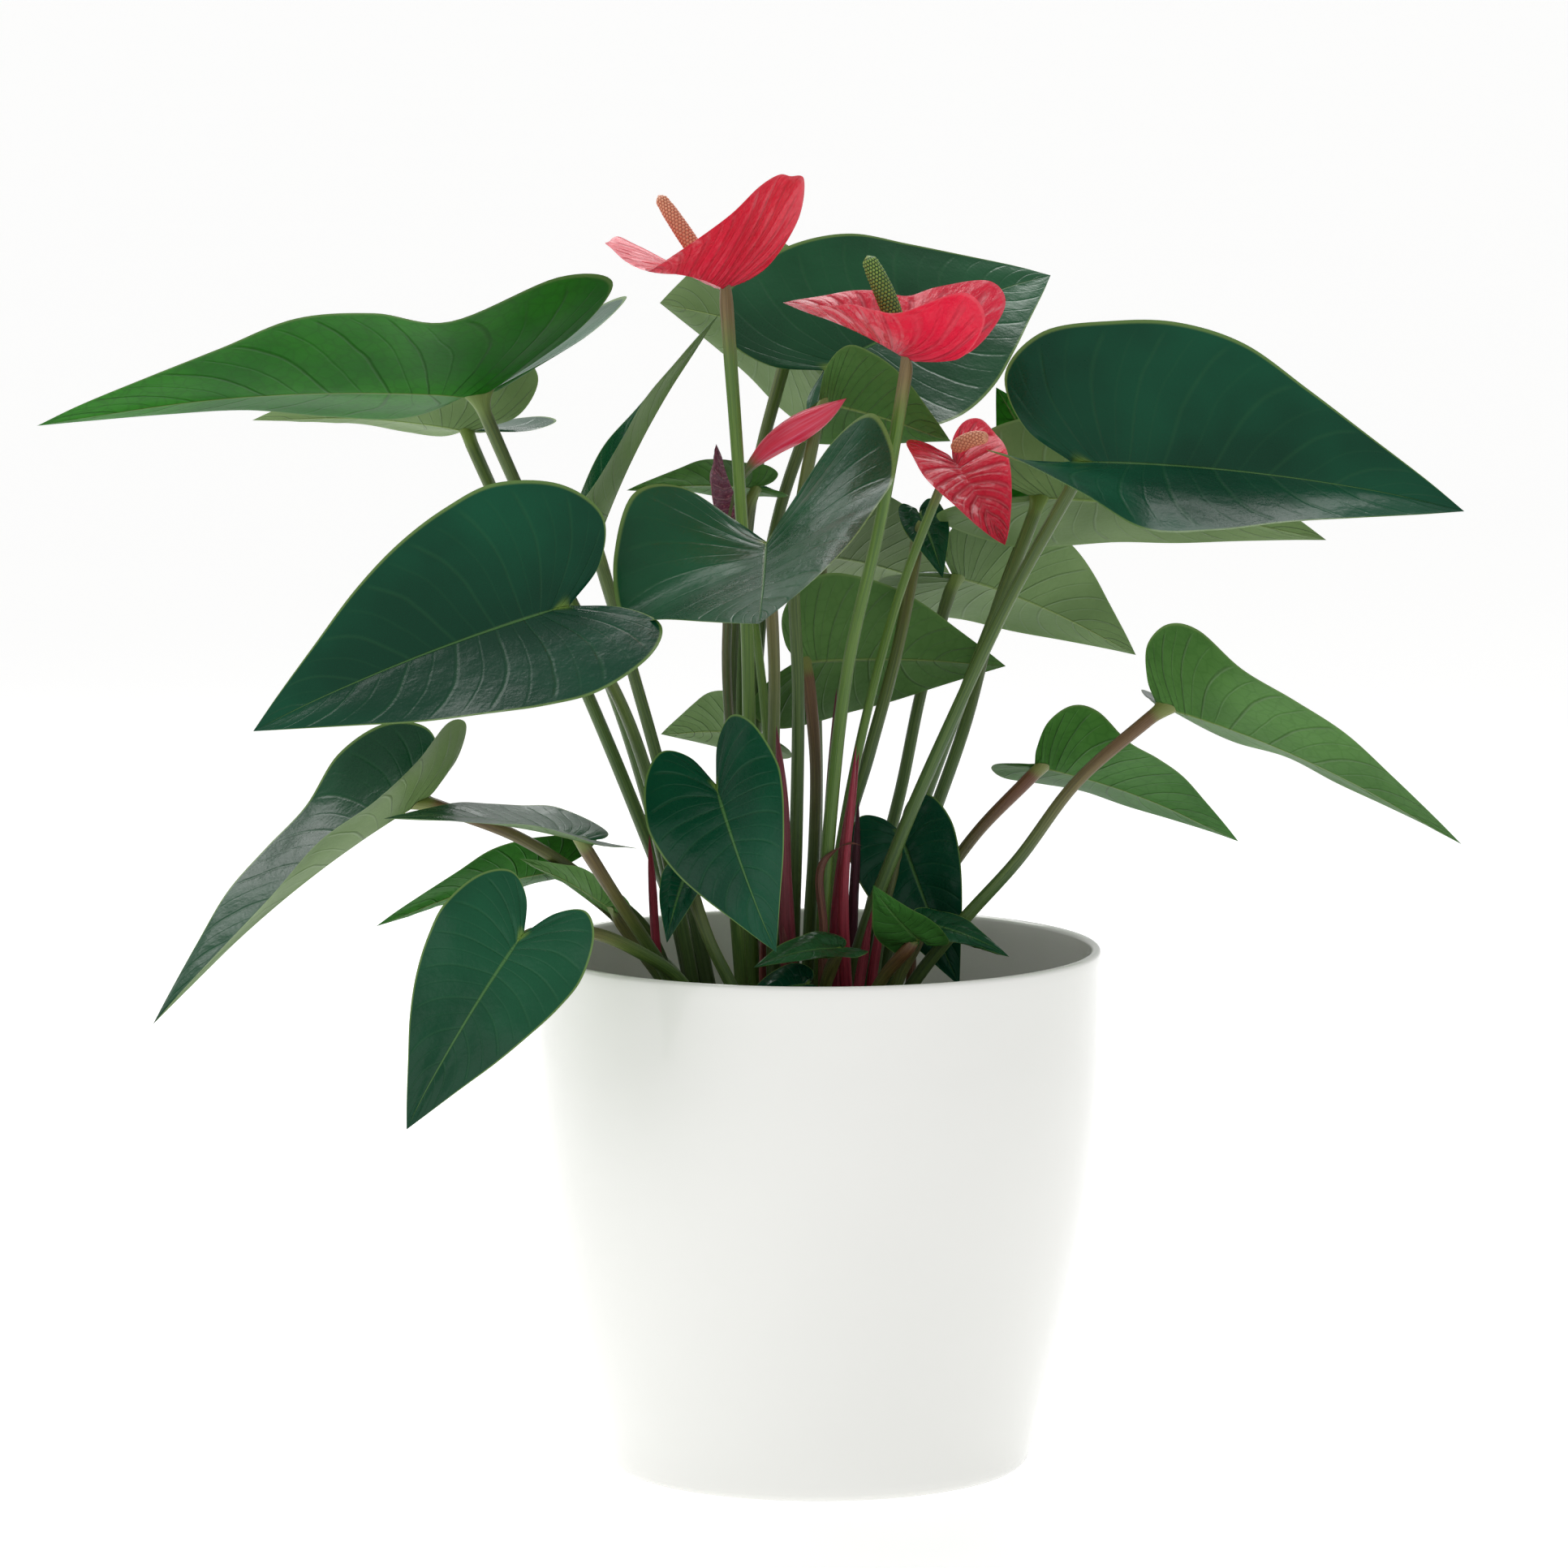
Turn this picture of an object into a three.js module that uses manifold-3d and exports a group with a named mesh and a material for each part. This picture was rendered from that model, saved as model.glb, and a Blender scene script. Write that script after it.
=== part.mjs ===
// A potted anthurium: a glossy round cover pot, the nursery pot and potting mix inside it,
// and the plant: long-stalked heart-shaped leaves, red spathes with their spadices, young shoots.
// Units are millimetres, +Z is up, the origin is the centre of the pot's flat base, the front is -Y.
import * as THREE from "three";
import { mergeVertices } from "three/addons/utils/BufferGeometryUtils.js";
import Module from "manifold-3d";

const wasm = await Module();
wasm.setup();

// Cover pot
const POT_HEIGHT = 165.6;
const POT_RIM_RADIUS = 90;
const POT_BASE_RADIUS = 67;
const POT_WALL = 3;
const POT_FLOOR = 4;
const POT_STRAIGHT_FROM = 0.82;
const POT_SEGMENTS = 48;

// Nursery pot standing inside the cover pot: how far its rim lies below the cover pot's, and the
// room left round its lip and round its foot
const GROW_BELOW_RIM = 43.3;
const GROW_LIP_ROOM = 10.5;
const GROW_FOOT_ROOM = 7;
const GROW_WALL = 1.4;
const GROW_LIP = 2.2;
const GROW_HOLE_RADIUS = 4;
const GROW_HOLES = 6;
const FLOOR_CORNER = 4;

// Potting mix, measured down from the nursery pot's rim
const MIX_BELOW_RIM = 5;
const CLEARANCE = 0.3;

// How far above the cover pot's rim the middle of a stalk that hangs over it passes
const OVER_RIM = 10.3;

// Plant
const PLANT_SCALE = 1;
const BLADE_THICKNESS = 1.5;
const MARGIN_WAVES = 3;
const STALK_SIDES = 6;
const STALK_STEPS = 6;

const growFloor = POT_FLOOR + CLEARANCE;
const growHeight = POT_HEIGHT - GROW_BELOW_RIM - growFloor;
const growRimRadius = potRadius(growFloor + growHeight) - POT_WALL - GROW_LIP_ROOM - GROW_LIP;
const growBaseRadius = potRadius(POT_FLOOR) - POT_WALL - FLOOR_CORNER - GROW_FOOT_ROOM;
const mixTop = growFloor + growHeight - MIX_BELOW_RIM;
const plantFoot = mixTop + CLEARANCE;
const passHeight = (POT_HEIGHT + OVER_RIM - plantFoot) / PLANT_SCALE;
const passRadius = POT_RIM_RADIUS / PLANT_SCALE;

const group = new THREE.Group();

function addMesh(name, geometry, colour, roughness, metalness = 0) {
  const material = new THREE.MeshStandardMaterial({ color: colour, roughness, metalness });
  const mesh = new THREE.Mesh(geometry, material);
  mesh.name = name;
  group.add(mesh);
  return mesh;
}

// ---------------------------------------------------------------- pots and potting mix

// The cover pot's outer radius at a height: it swells out from the base and ends straight.
function potRadius(z) {
  const swell = Math.sin((Math.PI / 2) * Math.min(1, z / (POT_STRAIGHT_FROM * POT_HEIGHT)));
  return POT_BASE_RADIUS + (POT_RIM_RADIUS - POT_BASE_RADIUS) * swell;
}

// LatheGeometry turns about Y, so the result is stood up to turn about Z.
function lathe(profile, segments) {
  const points = profile.map(([r, z]) => new THREE.Vector2(r, z));
  return new THREE.LatheGeometry(points, segments).rotateX(Math.PI / 2);
}

function solidOf(geometry) {
  const bare = geometry.clone();
  bare.deleteAttribute("normal");
  bare.deleteAttribute("uv");
  const merged = mergeVertices(bare, 1e-4);
  return new wasm.Manifold(new wasm.Mesh({
    numProp: 3,
    vertProperties: merged.attributes.position.array,
    triVerts: new Uint32Array(merged.index.array),
  }));
}

function geometryOf(solid) {
  const mesh = solid.getMesh();
  const geometry = new THREE.BufferGeometry();
  geometry.setAttribute("position", new THREE.BufferAttribute(mesh.vertProperties, 3));
  geometry.setIndex(new THREE.BufferAttribute(mesh.triVerts, 1));
  return geometry;
}

function coverPotGeometry() {
  const steps = 9;
  const round = POT_WALL / 2;
  const profile = [[0, 0], [POT_BASE_RADIUS - 2 * round, 0], [POT_BASE_RADIUS - 0.4 * round, 0.6 * round]];
  for (let i = 1; i <= steps; i++) {
    const z = (i / steps) * (POT_HEIGHT - round);
    profile.push([potRadius(z), z]);
  }
  profile.push([POT_RIM_RADIUS - 0.3 * round, POT_HEIGHT - 0.3 * round]);
  profile.push([POT_RIM_RADIUS - round, POT_HEIGHT]);
  profile.push([POT_RIM_RADIUS - 1.7 * round, POT_HEIGHT - 0.3 * round]);
  for (let i = steps; i >= 1; i--) {
    const z = Math.max((i / steps) * (POT_HEIGHT - round), POT_FLOOR + FLOOR_CORNER);
    profile.push([potRadius(z) - POT_WALL, z]);
  }
  profile.push([potRadius(POT_FLOOR) - POT_WALL - FLOOR_CORNER, POT_FLOOR], [0, POT_FLOOR]);
  return lathe(profile, POT_SEGMENTS);
}

// The nursery pot's outer radius at a height above its own foot.
function growRadius(z) {
  return growBaseRadius + (growRimRadius - growBaseRadius) * (z / growHeight);
}

function growPotGeometry() {
  const lipFoot = growHeight - 9;
  const profile = [
    [0, 0],
    [growBaseRadius, 0],
    [growRadius(lipFoot), lipFoot],
    [growRadius(lipFoot) + GROW_LIP, lipFoot],
    [growRimRadius + GROW_LIP, growHeight],
    [growRimRadius - GROW_WALL, growHeight],
    [growRadius(GROW_WALL) - GROW_WALL, GROW_WALL],
    [0, GROW_WALL],
  ];
  let solid = solidOf(lathe(profile, 36));
  for (let i = 0; i < GROW_HOLES; i++) {
    const angle = (2 * Math.PI * i) / GROW_HOLES;
    const hole = new THREE.CylinderGeometry(GROW_HOLE_RADIUS, GROW_HOLE_RADIUS, 4 * GROW_WALL, 10);
    hole.rotateX(Math.PI / 2);
    hole.translate(0.62 * growBaseRadius * Math.cos(angle), 0.62 * growBaseRadius * Math.sin(angle), 0);
    solid = solid.subtract(solidOf(hole));
  }
  return geometryOf(solid).translate(0, 0, growFloor);
}

function pottingMixGeometry() {
  const foot = GROW_WALL + CLEARANCE;
  const top = growHeight - MIX_BELOW_RIM;
  const inset = GROW_WALL + CLEARANCE + 0.2;
  const profile = [[0, foot], [growRadius(foot) - inset, foot], [growRadius(top) - inset, top], [0, top]];
  return lathe(profile, 36).translate(0, 0, growFloor);
}

// ---------------------------------------------------------------- leaves and spathes

// Half outlines of a blade from the sinus to the tip: distance from the midrib as a share of
// the half width, and distance ahead of the joint as a share of the joint-to-tip length.
const OUTLINES = {
  leaf: [[0.22, -0.72], [0.56, -1], [0.86, -0.66], [1, 0.02], [0.98, 0.19], [0.85, 0.37],
    [0.63, 0.55], [0.38, 0.73], [0.16, 0.89]],
  spathe: [[0.25, -0.8], [0.62, -1], [0.9, -0.6], [1, 0.05], [0.97, 0.24], [0.85, 0.43],
    [0.65, 0.61], [0.41, 0.78], [0.18, 0.92]],
};
// Where the row that ends at each outline point leaves the midrib; the first rows fan out
// of the joint as the basal veins do.
const RIB = [0, 0.03, 0.06, 0.11, 0.2, 0.33, 0.48, 0.65, 0.82];
const SINUS = -0.04;
const COLUMN = 0.56;

const vec = (p) => new THREE.Vector3(...p);

// One closed body: the stalk rises from the potting mix and opens into the blade's underside at
// the joint, and the blade thins to a knife edge all round its margin.
function bladeGeometry(spec) {
  const joint = vec(spec.joint);
  const ahead = vec(spec.tip).sub(joint);
  const length = ahead.length();
  ahead.normalize();
  const up = vec(spec.faces);
  up.addScaledVector(ahead, -up.dot(ahead)).normalize();
  const side = new THREE.Vector3().crossVectors(ahead, up);
  const outline = OUTLINES[spec.outline ?? "leaf"];
  const rows = outline.length;
  const half = spec.width / 2;
  const lobe = spec.lobe ?? 0.22;
  const foldRight = THREE.MathUtils.degToRad(spec.foldRight ?? spec.fold ?? 14);
  const foldLeft = THREE.MathUtils.degToRad(spec.foldLeft ?? spec.fold ?? 14);
  const cup = spec.cup ?? 0;
  const arch = spec.arch ?? 0.04;
  const twist = THREE.MathUtils.degToRad(spec.twist ?? 0);
  const wave = spec.wave ?? 0.02;
  const back = spec.back ?? 0;
  const liftRight = spec.liftRight ?? spec.lift ?? 0;
  const liftLeft = spec.liftLeft ?? spec.lift ?? 0;

  // The middle surface at a flat place: across in mm (right positive), along as a share of length.
  function place(across, along) {
    const share = Math.abs(across) / half;
    const fold = (across > 0 ? foldRight : foldLeft) * (1 - 0.35 * Math.max(0, along));
    const turn = twist * along;
    const out = Math.abs(across) * Math.cos(fold) * Math.sign(across);
    let rise = Math.abs(across) * Math.sin(fold) + cup * length * share * share;
    const phase = MARGIN_WAVES * Math.PI * (along + 0.2 * Math.sign(across));
    rise += wave * length * share * share * Math.sin(phase);
    const lift = across > 0 ? liftRight : liftLeft;
    rise += 2 * lift * length * Math.max(0, 0.15 - along) * share;
    const bend = length * along * (along > 0 ? 4 * arch * (1 - along) : 2.5 * arch - back);
    const x = out * Math.cos(turn) - rise * Math.sin(turn);
    const z = out * Math.sin(turn) + rise * Math.cos(turn);
    return joint.clone()
      .addScaledVector(ahead, along * length)
      .addScaledVector(side, x)
      .addScaledVector(up, z + bend);
  }

  const positions = [];
  const triangles = [];
  function vertex(p) {
    positions.push(p.x, p.y, p.z);
    return positions.length / 3 - 1;
  }

  // Flat places of the grid: columns 0 (midrib), 1 (edge of the rib), 2 (mid half), 3 (margin).
  function flat(row, column, sign) {
    const [a, b] = outline[row];
    const marginAcross = a * half;
    const marginAlong = b < 0 ? b * lobe : b;
    const reach = Math.hypot(marginAcross, (marginAlong - RIB[row]) * length);
    const ribShare = Math.min(0.34, (spec.rib ?? 2.6) * (1 - 0.6 * Math.max(0, marginAlong)) / reach);
    const share = [0, ribShare, COLUMN, 1][column];
    return [sign * marginAcross * share, RIB[row] + (marginAlong - RIB[row]) * share];
  }

  const ridge = [1, 0.8, 0.5];
  function pair(row, column, sign) {
    const [across, along] = flat(row, column, sign);
    const e = 0.01;
    const p = place(across, along);
    const dx = place(across + e * half, along).sub(place(across - e * half, along));
    const dy = place(across, along + e).sub(place(across, along - e));
    const n = column === 0 ? up.clone().add(dx.cross(dy).normalize()).normalize() : dx.cross(dy).normalize();
    if (n.dot(up) < 0) n.negate();
    const t = BLADE_THICKNESS * ridge[column] * (spec.thick ?? 1);
    return [vertex(p.clone().addScaledVector(n, 0.4 * t)), vertex(p.clone().addScaledVector(n, -0.6 * t))];
  }

  const sinus = vertex(place(0, SINUS));
  const tip = vertex(place(0, 1));
  const top = [];
  const under = [];
  const midrib = outline.map((_, row) => pair(row, 0, 1));
  for (const sign of [1, -1]) {
    const upper = [];
    const lower = [];
    for (let row = 0; row < rows; row++) {
      const inner = [1, 2].map((column) => pair(row, column, sign));
      const margin = vertex(place(...flat(row, 3, sign)));
      upper.push([midrib[row][0], inner[0][0], inner[1][0], margin]);
      lower.push([midrib[row][1], inner[0][1], inner[1][1], margin]);
    }
    top.push(upper);
    under.push(lower);
  }

  function face(a, b, c, flip) {
    if (flip) triangles.push(a, c, b);
    else triangles.push(a, b, c);
  }
  function skin(grid, flip, open) {
    for (let c = 0; c < 3; c++) {
      if (!(open && c === 0)) face(sinus, grid[0][c + 1], grid[0][c], flip);
      for (let r = 0; r < rows - 1; r++) {
        if (open && c === 0 && r === 0) continue;
        face(grid[r][c], grid[r][c + 1], grid[r + 1][c + 1], flip);
        face(grid[r][c], grid[r + 1][c + 1], grid[r + 1][c], flip);
      }
      face(grid[rows - 1][c], grid[rows - 1][c + 1], tip, flip);
    }
  }
  skin(top[0], false, false);
  skin(top[1], true, false);
  skin(under[0], true, true);
  skin(under[1], false, true);

  // The open ring in the underside round the joint, where the stalk comes in.
  const mouth = [sinus, under[0][0][1], under[0][1][1], under[0][1][0], under[1][1][1], under[1][0][1]];
  addStalk(spec, joint, ahead, mouth, vertex, triangles);

  const geometry = new THREE.BufferGeometry();
  geometry.setAttribute("position", new THREE.Float32BufferAttribute(positions, 3));
  geometry.setIndex(triangles);
  return geometry;
}

// A six-sided stalk from its flat foot on the potting mix to the mouth ring in a blade.
function addStalk(spec, joint, ahead, mouth, vertex, triangles) {
  const route = [vec([...spec.foot, 0]), ...(spec.via ?? []).map(vec), joint];
  const curve = new THREE.CatmullRomCurve3(route, false, "centripetal");
  const length = curve.getLength();
  const neck = 1 - 7 / length;
  const shares = [];
  for (let i = 0; i < STALK_STEPS; i++) shares.push((neck * i) / (STALK_STEPS - 1));
  const thin = spec.stalk ?? 1.9;
  let across = ahead.clone().negate();
  let above = mouth;
  for (let i = STALK_STEPS - 1; i >= 0; i--) {
    const centre = curve.getPointAt(shares[i]);
    const along = i === 0 ? new THREE.Vector3(0, 0, 1) : curve.getTangentAt(shares[i]);
    across = across.addScaledVector(along, -across.dot(along)).normalize();
    const other = new THREE.Vector3().crossVectors(along, across);
    const swell = i === STALK_STEPS - 1 ? 1.15 : 1 + 0.35 * Math.pow(1 - shares[i], 2);
    const ring = [];
    for (let k = 0; k < STALK_SIDES; k++) {
      const angle = (2 * Math.PI * k) / STALK_SIDES;
      const p = centre.clone()
        .addScaledVector(across, thin * swell * Math.cos(angle))
        .addScaledVector(other, thin * swell * Math.sin(angle));
      ring.push(vertex(p));
    }
    for (let k = 0; k < STALK_SIDES; k++) {
      const next = (k + 1) % STALK_SIDES;
      triangles.push(ring[k], ring[next], above[next]);
      triangles.push(ring[k], above[next], above[k]);
    }
    above = ring;
  }
  for (let k = 1; k < STALK_SIDES - 1; k++) triangles.push(above[0], above[k + 1], above[k]);
}

// A round-ended rod along a curved route, given as [share of the route, radius] stations.
function rodGeometry(route, stations, sides) {
  const curve = new THREE.CatmullRomCurve3(route.map(vec), false, "centripetal");
  const positions = [];
  const triangles = [];
  const start = curve.getPointAt(0);
  const end = curve.getPointAt(1);
  let across = new THREE.Vector3(1, 0, 0);
  positions.push(start.x, start.y, start.z, end.x, end.y, end.z);
  for (const [share, radius] of stations) {
    const centre = curve.getPointAt(share);
    const along = share === 0 && route[0][2] === 0 ? new THREE.Vector3(0, 0, 1) : curve.getTangentAt(share);
    if (Math.abs(along.dot(across)) > 0.95) across.set(0, 0, 1);
    across = across.addScaledVector(along, -across.dot(along)).normalize();
    const other = new THREE.Vector3().crossVectors(along, across);
    for (let k = 0; k < sides; k++) {
      const angle = (2 * Math.PI * k) / sides;
      const p = centre.clone()
        .addScaledVector(across, radius * Math.cos(angle))
        .addScaledVector(other, radius * Math.sin(angle));
      positions.push(p.x, p.y, p.z);
    }
  }
  const at = (ring, k) => 2 + ring * sides + (k % sides);
  const last = stations.length - 1;
  for (let k = 0; k < sides; k++) {
    triangles.push(0, at(0, k + 1), at(0, k));
    for (let ring = 0; ring < last; ring++) {
      triangles.push(at(ring, k), at(ring, k + 1), at(ring + 1, k + 1));
      triangles.push(at(ring, k), at(ring + 1, k + 1), at(ring + 1, k));
    }
    triangles.push(at(last, k), at(last, k + 1), 1);
  }
  const geometry = new THREE.BufferGeometry();
  geometry.setAttribute("position", new THREE.Float32BufferAttribute(positions, 3));
  geometry.setIndex(triangles);
  return geometry;
}

// ---------------------------------------------------------------- the plant's pieces
// Places are millimetres from the centre of the potting mix's surface. foot is where the stalk
// stands, via are places on its way, joint is where it meets the blade, tip is the blade's end and
// faces is the way that the upper face looks. Folds are degrees that each half rises.

const LEAVES = [
  { name: "leaf_top_left", foot: [-34, 6], via: [[-41, 4, 39], [-62, 8, 121], [-95, 23, 190]],
    joint: [-108, 25, 221], tip: [-249, 32, 211], faces: [0.05, 0.4, 0.92], width: 98, fold: 12, lobe: 0.33,
    liftRight: 0.22, back: 0.5 },
  { name: "leaf_top_left_back", foot: [-26, 15], via: [[-39, 15, 40], [-74, 42, 124], [-107, 84, 188]],
    joint: [-115, 98, 205], tip: [-186, 112, 207], faces: [0.1, 0.4, 0.9], width: 60, fold: 14, lobe: 0.36,
    liftLeft: 0.28, liftRight: 0.22 },
  { name: "leaf_front_left", foot: [-34, -10], via: [[-41, -13, 46], [-53, -24, 104], [-70, -55, 149]],
    joint: [-80, -70, 162], tip: [-172, -92, 127], faces: [-0.15, -0.8, 0.57], width: 86, fold: 20,
    lobe: 0.25 },
  { name: "leaf_centre", foot: [-12, -14], via: [[-14, -12, 40], [-14, -14, 92], [-14, -38, 158]],
    joint: [-16, -50, 180], tip: [-18, -124, 163], faces: [-0.1, -0.5, 0.87], width: 98, foldLeft: 32,
    foldRight: -15, lobe: 0.27, liftLeft: 0.28, liftRight: 0.6, arch: -0.02 },
  { name: "leaf_upright", foot: [-28, -2], via: [[-35, 0, 38], [-51, 0, 109], [-66, -4, 162]],
    joint: [-70, -5, 177], tip: [-31, 12, 248], faces: [-0.9, -0.05, 0.4], width: 50, fold: 22, lobe: 0.18 },
  { name: "leaf_crown_back", foot: [-16, 28], via: [[-20, 32, 40], [-25, 48, 115], [-18, 78, 205]],
    joint: [-8, 92, 234], tip: [-52, 142, 244], faces: [0.1, 0.85, 0.45], width: 76,
    foldLeft: 12, foldRight: 2, lobe: 0.28 },
  { name: "leaf_crown_right", foot: [-8, 30], via: [[-13, 33, 40], [-20, 36, 120], [-8, 42, 200]],
    joint: [5, 48, 229], tip: [77, 108, 255], faces: [0.25, -0.62, 0.74], width: 88, fold: 12, lobe: 0.28 },
  { name: "leaf_crown_low", foot: [-8, 9], via: [[-8, 7, 38], [-6, -1, 115], [-6, -4, 196]],
    joint: [2, -2, 221], tip: [42, 6, 208], faces: [-0.3, 0.6, 0.7], width: 46, fold: 10, lobe: 0.1 },
  { name: "leaf_right", foot: [8, -8], via: [[11, -10, 40], [44, -10, 125], [75, -14, 188]],
    joint: [84, -20, 203], tip: [201, -32, 189], faces: [0.1, -0.69, 0.72], width: 98, fold: 26, lobe: 0.25,
    liftRight: 0.35 },
  { name: "leaf_right_back", foot: [13, 9], via: [[15, 11, 38], [31, 16, 84], [47, 14, 128], [65, 14, 174]],
    joint: [71, 24, 189], tip: [164, 48, 173], faces: [0, 0.75, 0.65], width: 62, fold: 14, lobe: 0.3 },
  { name: "leaf_mid_right", foot: [10, 24], via: [[13, 27, 36], [26, 42, 88], [40, 57, 148]],
    joint: [46, 62, 160], tip: [106, 114, 129], faces: [-0.2, 0.6, 0.75], width: 60, fold: 14 },
  { name: "leaf_mid_back", foot: [0, 36], via: [[-1, 42, 35], [0, 54, 87], [0, 66, 146]],
    joint: [2, 72, 166], tip: [48, 128, 148], faces: [-0.3, 0.62, 0.7], width: 54, fold: 12 },
  { name: "leaf_heart_back", foot: [-2, 16], via: [[-3, 17, 37], [-1, 16, 77], [-1, 14, 118]],
    joint: [-4, 18, 137], tip: [61, 50, 132], faces: [-0.4, 0.75, 0.5], width: 60, fold: 10, lobe: 0.17 },
  { name: "leaf_low_back", foot: [-12, 40], via: [[-14, 44, 40], [-17, 52, 84]],
    joint: [-20, 62, 109], tip: [-51, 84, 106], faces: [0.2, 0.7, 0.6], width: 34, fold: 10 },
  { name: "leaf_low_right", foot: [22, -10], via: [[29, -13, 38], [54, -16, 66], [90, -17, 112]],
    joint: [110, -15, 126], tip: [201, -35, 85], faces: [0.38, 0.38, 0.84], width: 78, fold: 13, lobe: 0.12,
    lift: 0.15 },
  { name: "leaf_low_right_back", foot: [18, 10], via: [[24, 11, 38], [41, 13, 69], [56, 16, 88]],
    joint: [72, 20, 103], tip: [136, 42, 76], faces: [0.35, 0.5, 0.79], width: 62, fold: 10, lobe: 0.12,
    liftRight: 0.25 },
  { name: "leaf_hanging_left", foot: [-40, 2], via: [[-52, -4, 50], [-84, -20, 79], [-107, -30, 93]],
    joint: [-125, -32, 98], tip: [-205, -74, 34], faces: [-0.5, -0.1, 0.85], width: 72, fold: 24, lobe: 0.2,
    lift: 0.15 },
  { name: "leaf_flat_left", foot: [-37, -20], via: [[-47, -29, 43], [-56, -40, 58], [-66, -52, 76]],
    joint: [-74, -60, 90], tip: [-133, -82, 99], faces: [0.1, -0.05, 1], width: 50, fold: 9 },
  { name: "leaf_green_left", foot: [-34, 27], via: [[-45, 26, 34], [-60, 16, 50], [-72, 8, 64]],
    joint: [-84, 2, 72], tip: [-139, -20, 57], faces: [-0.25, 0.45, 0.85], width: 46, fold: 10 },
  { name: "leaf_small_left", foot: [-41, -13], via: [[-48, -19, 38], [-56, -22, 50]],
    joint: [-65, -26, 64], tip: [-94, -16, 78], faces: [0.3, 0.5, 0.8], width: 24, fold: 10 },
  { name: "leaf_front_drooping", foot: [-27, -27],
    via: [[-42, -44, 42], [-0.685 * passRadius, -0.729 * passRadius, passHeight], [-80, -88, 66]],
    joint: [-91, -100, 64], tip: [-125, -114, 8], faces: [-0.3, -0.85, 0.4], width: 52, fold: 8,
    lobe: 0.26 },
  { name: "leaf_front_folded", foot: [-20, -24], via: [[-24, -32, 42], [-27, -44, 78]],
    joint: [-31, -60, 105], tip: [-13, -84, 58], faces: [-0.45, -0.8, 0.35], width: 48, fold: 14,
    lobe: 0.35 },
  { name: "leaf_hidden", foot: [-21, 20], via: [[-24, 24, 40], [-28, 29, 110], [-24, 27, 176]],
    joint: [-20, 27, 192], tip: [-61, 36, 190], faces: [0.1, 0.5, 0.85], width: 28, fold: 10 },
  { name: "leaf_inner_left", foot: [-16, -38], via: [[-22, -42, 30], [-34, -43, 56]],
    joint: [-41, -40, 76], tip: [-47, -50, 56], faces: [-0.4, -0.85, 0.35], width: 15, fold: 12 },
  { name: "leaf_pot_front", foot: [4, -40], via: [[1, -42, 30]],
    joint: [-4, -46, 42], tip: [-24, -54, 38], faces: [0.1, -0.6, 0.8], width: 18, fold: 8 },
  { name: "leaf_dark_back", foot: [8, 12], via: [[7, 12, 40], [8, 13, 80], [20, 8, 120], [31, 26, 166]],
    joint: [33, 36, 182], tip: [40, 24, 163], faces: [0.2, -0.85, 0.5], width: 16, fold: 12 },
  { name: "leaf_bright_back", foot: [17, 22], via: [[22, 26, 40], [46, 33, 110], [65, 54, 172]],
    joint: [76, 56, 192], tip: [58, 66, 221], faces: [-0.4, 0.7, 0.5], width: 30, fold: 8 },
  { name: "leaf_front_small", foot: [-1, -30], via: [[1, -34, 34]],
    joint: [6, -44, 53], tip: [-20, -62, 50], faces: [0.1, -0.2, 1], width: 22, fold: 10 },
  { name: "leaf_dark_right", foot: [14, -1], via: [[18, 0, 40], [22, 2, 62]],
    joint: [27, 6, 82], tip: [45, -6, 36], faces: [-0.3, -0.9, 0.2], width: 36, fold: 12 },
  { name: "leaf_young_right", foot: [13, -27], via: [[17, -32, 36]],
    joint: [31, -45, 57], tip: [17, -56, 75], faces: [-0.6, -0.7, 0.3], width: 24, fold: 8 },
  { name: "leaf_pointed_right", foot: [19, -18], via: [[24, -20, 36]],
    joint: [34, -23, 58], tip: [60, -32, 49], faces: [0.2, -0.4, 0.9], width: 18, fold: 10 },
];

const SPATHES = [
  { name: "flower_left", foot: [-19, -10], via: [[-21, -12, 41], [-22, -14, 144], [-27, -17, 233]],
    joint: [-29, -20, 258], tip: [-52, -62, 265], faces: [-0.05, 0.1, 0.98], width: 76, foldLeft: 50,
    foldRight: 20, lobe: 0.42, liftLeft: 0.12, colour: "#b5123c", stalk: 1.9 },
  { name: "flower_centre", foot: [2, -19], via: [[1, -20, 41], [9, -25, 137], [26, -36, 217]],
    joint: [27, -42, 238], tip: [-11, -34, 254], faces: [0.4, -0.16, 0.9], width: 52, fold: 24,
    lobe: 0.5, lift: 0.52, colour: "#b5123c", stalk: 1.9 },
  { name: "flower_right", foot: [3, -5], via: [[2, -6, 39], [15, -2, 120], [36, 4, 189]],
    joint: [43, -4, 202], tip: [58, -38, 179], faces: [-0.1, -0.55, 0.8], width: 30, fold: 20,
    lobe: 0.3, colour: "#b5123c", stalk: 1.4 },
  { name: "flower_old", foot: [-13, 3], via: [[-14, 3, 38], [-16, 9, 115], [-22, 14, 165]],
    joint: [-25, 16, 186], tip: [-32, 8, 207], faces: [-0.8, -0.2, 0.5], width: 20, fold: 30,
    lobe: 0.3, colour: "#7a2346", stalk: 1.4 },
];

// Each spadix stands on its spathe at the joint: root and end of its axis, and its greatest radius.
const SPADICES = [
  { name: "spadix_left", route: [[-34, -17, 263], [-43, -10, 276], [-50, -4, 286]], radius: 2.6 },
  { name: "spadix_centre", route: [[25, -42, 245], [21, -42, 256], [15, -42, 269]], radius: 3.1 },
  { name: "spadix_right", route: [[43, -8, 207], [48, -13, 210], [53, -17, 211]], radius: 2.4 },
];
const SPADIX_STATIONS = [[0, 0.72], [0.12, 0.9], [0.35, 1], [0.65, 0.95], [0.85, 0.8], [0.96, 0.5]];

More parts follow.
